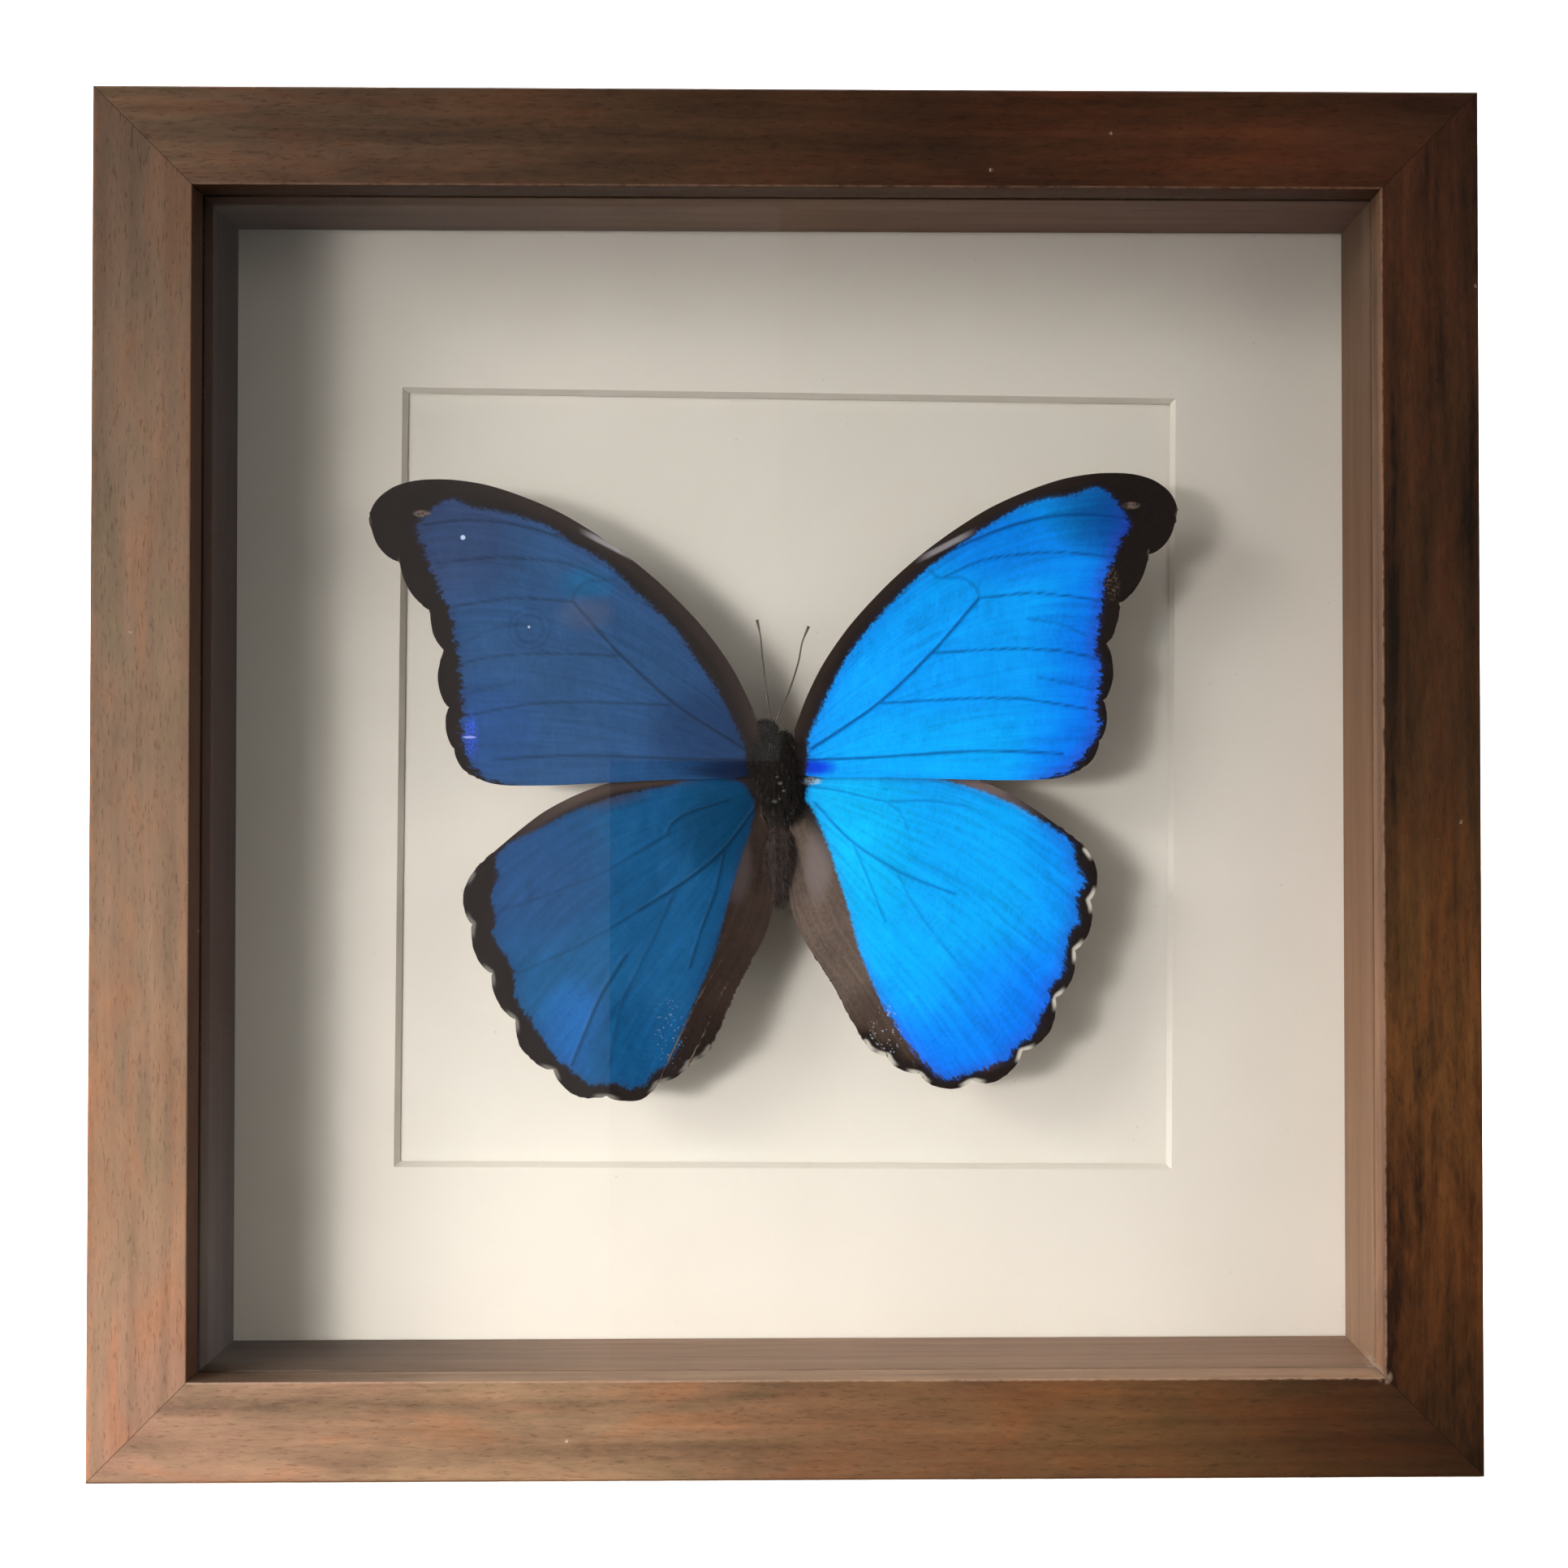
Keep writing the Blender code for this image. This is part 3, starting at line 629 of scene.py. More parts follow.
def fillet_finish(side):
    wood = Finish(f"fillet_{side}", roughness=0.6, specular_ior_level=0.25)
    x, y, z = wood.place()
    rise = z - centre_z / MM
    length, across = (x, rise) if side in ("top", "bottom") else (rise, x)
    streak = wood.noise(wood.vector(length / 45, across / 2, y / 1.8), 1, 5, 0.62, 0.4)
    grain = wood.noise(wood.vector(length / 9, across / 0.5, y / 0.5), 1, 3, 0.65)
    shade = (streak - 0.5) * 0.9 + (grain - 0.5) * 0.6 + 1.0
    colour = wood.tint(1.0, wood.ramp(length / (2 * half / MM) + 0.5, FILLET_LIT_AND_SHADED_TONES[side]), shade.larger(0.3))
    dusty = wood.noise(wood.spot, 1.6, 4, 0.75).between(0.55, 0.75) * wood.noise(wood.spot, 0.03, 2).between(0.45, 0.6)
    colour = wood.mix(dusty * 0.3, colour, (0.40, 0.37, 0.34))
    edge = (spacer_low.z - centre_z) / MM
    dx, dz, depth = x - edge, rise + edge, y - spacer_low.y / MM
    crumbs = wood.noise(wood.spot, 1.2, 3, 0.6).between(0.40, 0.55)
    filler = (1.0 - (dx * dx + dz * dz).between(0.4, 2.2)) * (1.0 - depth.between(2.0, 9.0)) * crumbs
    colour = wood.mix(filler * 0.55, colour, (0.46, 0.37, 0.29))
    wood.set(base_color=colour, roughness=grain * 0.2 + 0.55)
    wood.bump(grain + streak, 0.05 * MM, 0.4)
    return wood.material


for side in TURNS:
    finish_piece(fillet(side), fillet_finish(side), [f"spacer_{side}"])

# %% [markdown]
# ## The glass
# Picture glass is clear, two millimetres thick, with ground edges. Its shadow is switched off, so
# that the softboxes light the butterfly straight through it, as real glass would let them.

# %% Glass pane
pane = block("pane", glass_low, glass_high)
ease(pane, lambda m, way: True, 0.25 * MM, 2)
clear = Finish("picture_glass", transmission_weight=1.0, roughness=0.0, ior=1.5)
x, y, z = clear.place()
clear.set(base_color=clear.mix(clear.noise(clear.spot, 0.05), (0.985, 0.995, 0.99), (0.995, 1.0, 0.997)))
pane.visible_shadow = False
finish_piece(pane, clear.material, ["glass_pane"], 1)

# %% [markdown]
# ## Mat and card
# The mat is a cream board with a square window. Its edge is cut on a slant, so the window shows
# a thin line: shaded on the side near the light, bright on the far side. Front and back faces of a
# flat block are inset by different amounts, the middles removed, and the two rims bridged. It
# was cut by hand, so its corners are a millimetre or so out of true.

# %% Window mat and the card behind it


def board_finish(name, low, high):
    board = Finish(name, roughness=0.92, specular_ior_level=0.2)
    board.place()
    fibre = board.noise(board.spot, 2.6, 5, 0.7)
    cloud = board.noise(board.spot, 0.035, 3, 0.5)
    colour = board.mix((fibre * 0.5 + cloud * 0.5).between(0.25, 0.75), low, high)
    fleck = board.cells(board.spot, 0.16)
    colour = board.mix((1.0 - fleck.between(0.02, 0.045)) * 0.35, colour, (0.42, 0.37, 0.28))
    board.set(base_color=colour)
    board.bump(fibre, 0.06 * MM, 0.5)
    return board.material


window = 75 * MM
slant = 0.9 * MM
mat = block("mat", mat_low, mat_high)
margin = mat_high.x - window
for facing, inset in ((-1, margin), (1, margin + slant)):
    select_faces(mat, lambda middle, normal: normal.y * facing > 0.9)
    bpy.ops.mesh.inset(thickness=inset)
    bpy.ops.object.mode_set(mode="OBJECT")
select_faces(mat, lambda m, normal: abs(normal.y) > 0.9 and abs(m.x) < MM and abs(m.z - centre_z) < MM)
bpy.ops.mesh.delete(type="FACE")
bpy.ops.object.mode_set(mode="OBJECT")
inside = lambda m: abs(m.x) < window + 1.2 * MM and abs(m.z - centre_z) < window + 1.2 * MM
select_edges(mat, lambda m, way: abs(way.y) < 0.1 and inside(m))
bpy.ops.mesh.bridge_edge_loops()
bpy.ops.object.mode_set(mode="OBJECT")
CORNERS = {(-1, 1): (-0.4, 1.6), (1, 1): (-0.3, -0.2), (1, -1): (-1.5, 0.1), (-1, -1): (-1.6, 1.0)}
for point in mat.data.vertices:
    if inside(point.co):
        x_shift, z_shift = CORNERS[(1 if point.co.x > 0 else -1, 1 if point.co.z > centre_z else -1)]
        point.co += Vector((x_shift, 0, z_shift)) * MM
tidy_normals(mat)
finish_piece(mat, board_finish("mat_board", (0.83, 0.77, 0.68), (0.87, 0.815, 0.725)), ["window_mat"])

card = block("card", card_low, card_high)
ease(card, lambda m, way: True, 0.2 * MM, 2)
finish_piece(card, board_finish("card", (0.83, 0.775, 0.685), (0.865, 0.82, 0.735)), ["mount_card"])

# %% [markdown]
# ## The back of the box
# Thin hardboard closes the back. Small steel blades pushed into the rails keep it there, and a
# toothed strip nailed to the top rail hangs the box on a wall.

# %% Hardboard
hardboard = Finish("hardboard", roughness=0.7)
hardboard.place()
flakes = hardboard.noise(hardboard.spot, 1.1, 6, 0.75)
clouds = hardboard.noise(hardboard.spot, 0.05, 3)
brown = hardboard.mix((flakes * 0.7 + clouds * 0.3).between(0.3, 0.7), (0.20, 0.115, 0.06), (0.33, 0.20, 0.11))
hardboard.set(base_color=brown, roughness=flakes * 0.3 + 0.5)
hardboard.bump(flakes, 0.12 * MM, 0.6)
back = block("backboard_sheet", board_low, board_high)
ease(back, lambda m, way: True, 0.35 * MM, 2)
finish_piece(back, hardboard.material, ["backboard"])

# %% Steel for the small hardware
steel = Finish("bright_steel", metallic=1.0, roughness=0.32)
steel.place()
rolled = steel.noise(steel.spot, 0.9, 5, 0.6)
scratch = steel.noise(steel.spot, 6.0, 2, 0.6)
steel.set(base_color=steel.mix(rolled, (0.42, 0.42, 0.43), (0.66, 0.66, 0.67)))
steel.set(roughness=scratch * 0.3 + rolled * 0.15 + 0.12)
steel.bump(scratch, 0.02 * MM, 0.4)

# %% Flexible tabs
for side in TURNS:
    for number in (1, 2):
        node = f"flex_tab_{side}_{number}"
        low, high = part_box(node)
        tab = block(f"tab_{side}_{number}", low, high)
        ease(tab, lambda m, way: abs(way.y) > 0.9, 1.6 * MM, 4)
        ease(tab, lambda m, way: abs(way.y) < 0.1, 0.12 * MM, 2)
        finish_piece(tab, steel.material, [node])

# %% Toothed hanging strip
low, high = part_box("sawtooth_hanger")
nails = [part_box(f"hanger_nail_{side}") for side in ("left", "right")]
begin()
bpy.ops.mesh.primitive_grid_add(x_subdivisions=28, y_subdivisions=4, size=1)
strip = bpy.context.object
strip.name = "hanging_strip"
width, height = high.x - low.x, high.z - low.z
for point in strip.data.vertices:
    column = round((point.co.x + 0.5) * 28)
    tooth = 5 <= column <= 23 and column % 2 == 0 and point.co.y < -0.4
    bulge = 0.35 * MM * math.exp(-(((point.co.y - 0.05) / 0.22) ** 2)) * (abs(point.co.x) < 0.36)
    rise = (point.co.y + 0.5) * height + (1.5 * MM if tooth else 0)
    point.co = (low.x + (point.co.x + 0.5) * width, low.y + 0.1 * MM + bulge, low.z + rise)
apply_modifier(strip, "SOLIDIFY", thickness=0.45 * MM, offset=0)
tidy_normals(strip)
apply_modifier(strip, "BEVEL", width=0.06 * MM, segments=1, limit_method="ANGLE")
finish_piece(strip, steel.material, ["sawtooth_hanger"])

# %% Two nails
for side, (low, high) in zip(("left", "right"), nails):
    begin()
    spot = ((low.x + high.x) / 2, (low.z + high.z) / 2)
    bpy.ops.mesh.primitive_cylinder_add(
        vertices=20, radius=0.6 * MM, depth=high.y - low.y - 0.4 * MM,
        location=(spot[0], (low.y + high.y - 0.4 * MM) / 2, spot[1]), rotation=(math.radians(90), 0, 0),
    )
    nail = bpy.context.object
    nail.name = f"nail_{side}"
    settle(nail)
    select_faces(nail, lambda m, normal: normal.y > 0.9)
    bpy.ops.mesh.extrude_region_move(TRANSFORM_OT_translate={"value": (0, -0.25 * MM, 0)})
    bpy.ops.transform.resize(value=(2.6, 1, 2.6))
    bpy.ops.mesh.extrude_region_move(TRANSFORM_OT_translate={"value": (0, 0.55 * MM, 0)})
    bpy.ops.mesh.bevel(offset=0.25 * MM, segments=3, affect="EDGES")
    bpy.ops.object.mode_set(mode="OBJECT")
    tidy_normals(nail)
    finish_piece(nail, steel.material, [f"hanger_nail_{side}"])

# %% [markdown]
# ## The shape of a wing
# A butterfly's wing is a thin sheet stretched over stiff veins. Its outline is easiest to give as
# three edges: the strong front edge, the scalloped outer margin and the trailing edge. Distances
# are in millimetres out from the body's middle and up from the middle of the box. Between two
# notches of the margin the edge swells out in a rounded lobe.

# %% Curves and scallops


def curve(points, per_span=24):
    """A smooth curve through the points."""
    made = []
    rows = [np.array(p, float) for p in points]
    for i in range(len(rows) - 1):
        a, b, c, d = rows[max(i - 1, 0)], rows[i], rows[i + 1], rows[min(i + 2, len(rows) - 1)]
        span = np.linalg.norm(c - b)
        pull_b = (c - a) * min(0.5, span / max(np.linalg.norm(c - a), 1e-6) * 0.9)
        pull_c = (d - b) * min(0.5, span / max(np.linalg.norm(d - b), 1e-6) * 0.9)
        for k in range(per_span):
            t = k / per_span
            made.append(
                b * (2 * t**3 - 3 * t**2 + 1) + pull_b * (t**3 - 2 * t**2 + t)
                + c * (3 * t**2 - 2 * t**3) + pull_c * (t**3 - t**2)
            )
    return np.array([*made, rows[-1]])


def scallops(notches, per_lobe=40):
    made = []
    for (x0, z0, swell), (x1, z1, _) in zip(notches, notches[1:]):
        start, stop = np.array((x0, z0)), np.array((x1, z1))
        chord = stop - start
        outward = np.array((-chord[1], chord[0]))
        for k in range(per_lobe):
            t = k / per_lobe
            made.append(start + chord * t + outward * swell * math.sin(math.pi * t ** 1.08) ** 0.62)
    return np.array([*made, notches[-1][:2]])


def even(points, count):
    """The same line, with count points evenly spaced along it."""
    steps = np.linalg.norm(np.diff(points, axis=0), axis=1)
    along = np.concatenate([[0], np.cumsum(steps)])
    at = np.linspace(0, along[-1], count)
    return np.stack([np.interp(at, along, points[:, i]) for i in range(points.shape[1])], axis=1)


# %% Outlines of the two wings
FORE = {
    "costa": [
        (3.2, 9.8), (5.6, 16.0), (9.0, 22.5), (14.0, 29.4), (20.7, 36.5), (27.0, 42.0), (33.3, 46.6),
        (40.2, 50.8), (47.5, 54.0), (54.0, 56.1), (60.6, 57.1), (66.7, 57.0), (71.0, 55.8), (73.9, 53.6),
        (75.3, 51.0), (74.9, 49.1),
    ],
    "notches": [
        (74.9, 49.1, 0.19), (69.7, 41.8, 0.14), (64.2, 32.8, 0.12), (61.7, 25.2, 0.16), (61.0, 14.5, 0.15),
        (60.2, 7.0, 0.13), (57.4, 2.2, 0.0),
    ],
    "trail": [
        (57.4, 2.2), (54.4, 0.6), (50.7, -0.1), (42.0, -0.2), (33.0, 0.1), (22.0, 0.5), (9.0, 0.7), (3.2, 1.4),
    ],
    "root": (3.7, 5.0),
    "turn": {"right": 0.7, "left": -0.7},
}
HIND = {
    "costa": [
        (2.4, 0.6), (6.0, 1.3), (12.0, 1.8), (19.0, 2.0), (30.0, 1.2), (37.0, -0.8), (43.3, -3.7), (47.9, -6.8),
        (52.4, -10.3), (55.9, -13.2), (57.2, -14.7),
    ],
    "notches": [
        (57.2, -14.7, 0.19), (57.8, -24.4, 0.17), (54.4, -33.7, 0.17), (50.4, -42.4, 0.22),
        (43.8, -51.9, 0.24), (34.2, -57.2, 0.24), (24.6, -55.4, 0.16), (18.6, -52.0, 0.14), (14.6, -49.4, 0.0),
    ],
    "trail": [
        (14.6, -49.4), (12.0, -44.6), (9.1, -38.5), (6.4, -34.0), (3.9, -29.8), (2.2, -25.4), (1.4, -20.5),
        (1.3, -14.0), (1.9, -9.0), (3.4, -6.4),
    ],
    "root": (3.9, -4.4),
    "turn": {"right": 2.4, "left": -2.4},
}
print("margin lobes:", len(FORE["notches"]) - 1, "and", len(HIND["notches"]) - 1)

# %% [markdown]
# ## Veins and markings
# The blue field has its own outline inside the dark border. The veins are dark lines that fan out
# from the wing's root. Both are given as short lists of points. Every point of the wing then
# learns how far it is from the blue field's edge, from the nearest vein and from the margin, and
# the finish turns those distances into colour.

# %% Veins and the blue field
FORE_VEINS = [
    ([(6.2, 6.1), (18.9, 14.5), (29, 23.8), (38.1, 34)], 0.42, 1.0),
    ([(18.9, 14.5), (35.6, 15.2), (45.7, 15), (57.9, 13)], 0.3, 0.75),
    ([(29, 23.8), (43.2, 24.4), (53.3, 23.9), (59.9, 22.4)], 0.3, 0.75),
    ([(38.1, 34), (47.8, 34.8), (55.9, 34), (61, 33)], 0.3, 0.75),
    ([(28.5, 39.8), (30.5, 38), (35.1, 37.8), (37.6, 35.8), (38.1, 34)], 0.28, 0.6),
    ([(31.5, 38), (38.6, 41.1), (45.7, 42.1), (53.9, 42.4), (63, 41.4)], 0.3, 0.75),
    ([(29, 41.1), (36.6, 44.6), (43.2, 47.2), (50.8, 49), (58.4, 49.5), (65.6, 48.6)], 0.36, 0.9),
    ([(47.2, 29.9), (53.3, 28.9), (57.9, 26.7)], 0.3, 0.35),
    ([(48.8, 19), (53.8, 18), (59.4, 16.5)], 0.3, 0.35),
    ([(5.7, 4.1), (17.9, 4.4), (35.6, 5.3), (45.7, 5.1), (53.3, 4.6)], 0.32, 0.8),
]
FORE_FIELD = {
    "right": [
        (5.7, 5.0), (5.9, 8.4), (9.3, 16), (12.8, 22.5), (16.8, 28.1), (21.9, 33.5), (27.5, 38.8), (32.5, 42.6),
        (38.6, 46.7), (45.7, 50.8), (50.8, 52.5), (55.9, 53.1), (60.5, 54.6), (63.5, 52.6), (65.6, 49.5),
        (66.6, 47), (64.8, 44.4), (63.5, 41.4), (61.7, 37.3), (61.2, 33.3), (60.7, 29.2), (59.9, 25.1),
        (60.7, 21.1), (60.4, 17), (59.9, 13), (60.4, 10.4), (59.6, 7.9), (57.0, 4.0), (53.5, 0.9), (42, -2),
        (20, -2), (6.2, -2),
    ],
    "left": [
        (5.9, 5.2), (6.4, 7.4), (9.7, 14.6), (12.3, 19.1), (15.4, 23.7), (19.1, 29.1), (23, 32.9), (26.7, 36.4),
        (30.5, 40.4), (34.3, 43.2), (38.1, 45.3), (42.9, 48.5), (47.7, 50.2), (51.9, 51.2), (56.2, 52), (60, 53.5),
        (62.9, 52.5), (64.8, 50.7), (66.8, 48.3), (66.3, 45.9), (65.1, 43.5), (64.5, 41), (63, 37.6), (62.1, 34.8),
        (60.7, 32.9), (60.1, 29), (59.4, 25.2), (58.9, 21.3), (58.7, 17.5), (58.5, 13.7), (58.9, 10.8),
        (58.6, 7.9), (57.6, 5.1), (56.0, 2.6), (53.3, 0.6), (42, -2), (20, -2), (6.4, -2),
    ],
}
HIND_VEINS_RIGHT = [
    ([(6.4, -0.9), (12.4, -2.2), (20.1, -4.3), (27.9, -4.5), (35.2, -5.9)], 0.3, 0.7),
    ([(20.1, -4.3), (22.9, -6.8), (24.2, -10)], 0.28, 0.5),
    ([(6.9, -4.1), (13.3, -11.4), (21.5, -17.3), (27, -20), (32.5, -22.3)], 0.36, 0.9),
    ([(24.2, -14.6), (36.1, -21.9), (41.6, -27.8), (48.9, -33.7)], 0.45, 0.4),
    ([(13.7, -11.8), (15.1, -15.5), (16.9, -20.5), (19.2, -26.9)], 0.3, 0.6),
    ([(21.9, -17.8), (23.8, -22.3), (27, -27.8), (32.9, -36)], 0.35, 0.45),
    ([(32.9, -36), (37.5, -43), (41.0, -49.5)], 0.3, 0.25),
    ([(35.2, -5.9), (44, -11.5), (53, -19.5)], 0.3, 0.25),
]
HIND_VEINS_LEFT = [
    ([(4.1, -4.5), (10.5, -12.3), (16.9, -17.3), (26.9, -23.2)], 0.42, 1.0),
    ([(10.5, -12.8), (12.3, -20), (15.5, -27.8), (17.7, -34.2)], 0.34, 0.8),
    ([(9.1, -3.2), (16.9, -5.2), (19.6, -6.8), (21, -9.1)], 0.3, 0.7),
    ([(29.6, -31.4), (35, -39.6), (40.4, -51.4)], 0.4, 0.9),
    ([(26.9, -23.2), (38, -29), (50, -34)], 0.35, 0.4),
    ([(19.5, -18.8), (24, -28), (30.5, -40), (33.5, -52)], 0.35, 0.45),
    ([(21, -9.1), (34, -16), (52, -22)], 0.35, 0.35),
]
HIND_FIELD = {
    "right": [
        (5.0, -3.4), (5.8, -1.0), (8.5, 0.8), (16.9, 1.5), (24.2, 0.8), (30.6, -0.5), (38.8, -3.2), (44.5, -6), (50, -9.7),
        (54.1, -12.7), (55.4, -14.9), (55.3, -17.3), (57.2, -20.7), (55.7, -23.1), (55.3, -26.4), (55.6, -28.4),
        (53.8, -30.4), (52.7, -34.5), (52.3, -37.8), (49.3, -40.9), (49.5, -42.6), (47.4, -45.8), (46.5, -48.5),
        (42.7, -51.3), (41, -53.7), (36.6, -55.1), (31.5, -56.5), (28.6, -56.6), (24.5, -52.7), (21.2, -47.9),
        (18.2, -43), (16.2, -38.2), (14, -31.9), (12.4, -24.9), (10.3, -16.9), (8.6, -11), (6.3, -5),
    ],
    "left": [
        (4.5, -3.2), (6.4, -0.2), (11, 1.2), (16.9, 1.0), (20.2, 0), (27.1, -0.9), (32.1, -2), (38.1, -3.9),
        (44, -6.6), (48.3, -8.5), (51.8, -10.5), (53.1, -12.5), (52.8, -15.9), (54.2, -19.6), (53.5, -22.9),
        (54.1, -27.1), (51.7, -30.6), (50.2, -34.9), (50.4, -38.2), (48.4, -41.7), (46.8, -44.6), (44.5, -48.1),
        (42.5, -50.7), (40, -52.9), (37.6, -55.1), (33.4, -55.3), (29.2, -56.3), (26.7, -55.6), (25, -53.6),
        (22.3, -52), (20.6, -49.5), (18.7, -44.6), (16, -38.8), (12.7, -31.5), (9.9, -22.3), (7.4, -14.9),
        (5.5, -9.8), (4.4, -5.7),
    ],
}

# %% Distances over the wing


def distance(points, line):
    """From each point to the nearest place on the line."""
    best = np.full(len(points), 1e9)
    for a, b in zip(line, line[1:]):
        along = b - a
        t = np.clip(((points - a) @ along) / max(along @ along, 1e-9), 0, 1)
        best = np.minimum(best, np.linalg.norm(points - (a + t[:, None] * along), axis=1))
    return best


def inside_of(points, loop):
    """True for each point inside the closed loop."""
    found = np.zeros(len(points), bool)
    x, z = points[:, 0], points[:, 1]
    for (x0, z0), (x1, z1) in zip(loop, np.roll(loop, -1, axis=0)):
        crosses = (z0 > z) != (z1 > z)
        at = x0 + (z - z0) * (x1 - x0) / (z1 - z0 if z1 != z0 else 1e-9)
        found ^= crosses & (x < at)
    return found


def ripple(points, scale, seed):
    """Smooth unevenness between -1 and 1."""
    return np.array([noise.noise(Vector((x * scale, z * scale, seed))) for x, z in points])


# %% [markdown]
# ## Building a wing
# A grid is stretched over the outline: one direction runs from the root to the margin, the other
# from the trailing edge to the front edge. The sheet is lifted off the mat, arched a little,
# raised along the veins and rippled between them. Solidify then gives it the thickness of card.

# %% Lift and build


def fore_lift(x, z):
    reach = np.hypot(x - 3.7, z - 5.0)
    return 13.5 + 0.026 * reach - 0.45 * np.exp(-(((z - 0.62 * x - 14) / 9) ** 2))


def hind_lift(x, z):
    reach = np.hypot(x - 3.9, z + 4.4)
    return 12.6 + 0.016 * reach - 0.9 * np.exp(-(((x + 0.12 * z) / 8) ** 2))


def wing(name, side, shape, veins, field, lift, across, along, seed):
    hand = 1 if side == "right" else -1
    costa = even(curve(shape["costa"]), along + 1)
    trail = even(curve(shape["trail"])[::-1], along + 1)
    margin = even(scallops(shape["notches"])[::-1], across + 1)
    rough = np.array([
        noise.noise(Vector((k * 0.55, seed, 0))) + 1.6 * noise.noise(Vector((k * 0.13, seed, 4)))
        for k in range(across + 1)
    ])
    outward = margin - margin.mean(axis=0)
    margin[2:-2] += (0.16 * rough[:, None] * outward / np.linalg.norm(outward, axis=1)[:, None])[2:-2]
    root = even(np.array([trail[0], costa[0]]), across + 1)

    begin()
    bpy.ops.mesh.primitive_grid_add(x_subdivisions=across, y_subdivisions=along, size=1)
    sheet = bpy.context.object
    sheet.name = sheet.data.name = name
    count = len(sheet.data.vertices)
    flat = np.empty(count * 3)
    sheet.data.vertices.foreach_get("co", flat)
    u, v = flat.reshape(-1, 3)[:, 0] + 0.5, flat.reshape(-1, 3)[:, 1] + 0.5
    iu, iv = np.rint(u * across).astype(int), np.rint(v * along).astype(int)
    uu, vv = u[:, None], v[:, None]
    corner = (1 - uu) * ((1 - vv) * trail[0] + vv * trail[-1]) + uu * ((1 - vv) * costa[0] + vv * costa[-1])
    spots = (1 - uu) * trail[iv] + uu * costa[iv] + (1 - vv) * root[iu] + vv * margin[iu] - corner

    vein = np.zeros(count)
    for line, width, strength in veins:
        gap = distance(spots, curve(line, 8))
        vein = np.maximum(vein, strength * np.exp(-((gap / width) ** 2)))
    loop = curve([*field, field[0]], 6)
    inner = np.where(inside_of(spots, loop[:-1]), 1, -1) * distance(spots, loop)
    notches = np.array([n[:2] for n in shape["notches"]])
    to_notch = np.min(np.linalg.norm(spots[:, None] - notches[None], axis=2), axis=1)
    traits = {
        "vein": vein,
        "blue": np.clip(inner, -12, 30),
        "margin": distance(spots, margin[::3]),
        "costa": distance(spots, costa[::3]),
        "trail": distance(spots, trail[::3]),
        "notch": to_notch,
    }
    for key, value in traits.items():
        sheet.data.attributes.new(key, "FLOAT", "POINT").data.foreach_set("value", value.astype(np.float32))

    angle = math.radians(shape["turn"][side])
    c, s = math.cos(angle), math.sin(angle)
    out = spots - shape["root"]
    x = shape["root"][0] + c * out[:, 0] - s * out[:, 1]
    z = shape["root"][1] + s * out[:, 0] + c * out[:, 1]
    height = lift(spots[:, 0], spots[:, 1]) + 0.10 * vein
    height += 0.16 * ripple(spots, 0.11, seed) + 0.05 * ripple(spots, 0.5, seed + 5)
    placed = np.stack([axis_x + hand * x * MM, mat_y - height * MM, centre_z + z * MM], axis=1)
    sheet.data.vertices.foreach_set("co", placed.ravel())
    sheet.data.update()
    sheet.data.uv_layers[0].name = "wing"
    pick(sheet)
    bpy.ops.object.mode_set(mode="EDIT")
    bpy.ops.mesh.select_all(action="SELECT")
    if hand > 0:
        bpy.ops.mesh.flip_normals()
    bpy.ops.object.mode_set(mode="OBJECT")
    facing = np.mean([f.normal.y for f in sheet.data.polygons[:200]])
    print(name, "points", count, "faces the glass" if facing < 0 else "faces the mat")
    apply_modifier(sheet, "SOLIDIFY", thickness=0.18 * MM, offset=-1)
    face = np.zeros(len(sheet.data.vertices), np.float32)
    face[:count] = 1.0
    sheet.data.attributes.new("face", "FLOAT", "POINT").data.foreach_set("value", face)
    return sheet


# %% [markdown]
# ## Blue scales
# The blue isn't a pigment. Rows of tiny ridged scales reflect it like a mirror, so the same wing
# looks bright azure when it faces the light and steel blue when it turns away. That difference is
# painted: the right wings get bright base colours and a faint painted glow, the left wings dark
# ones that stand for their shade. The finish is partly metallic, with a fine grain of scales, rows
# that cross the wing, and a violet tinge towards the margin. The border is plain black-brown scale,
# and meets the blue in a ragged comb.

# %% The wing finish


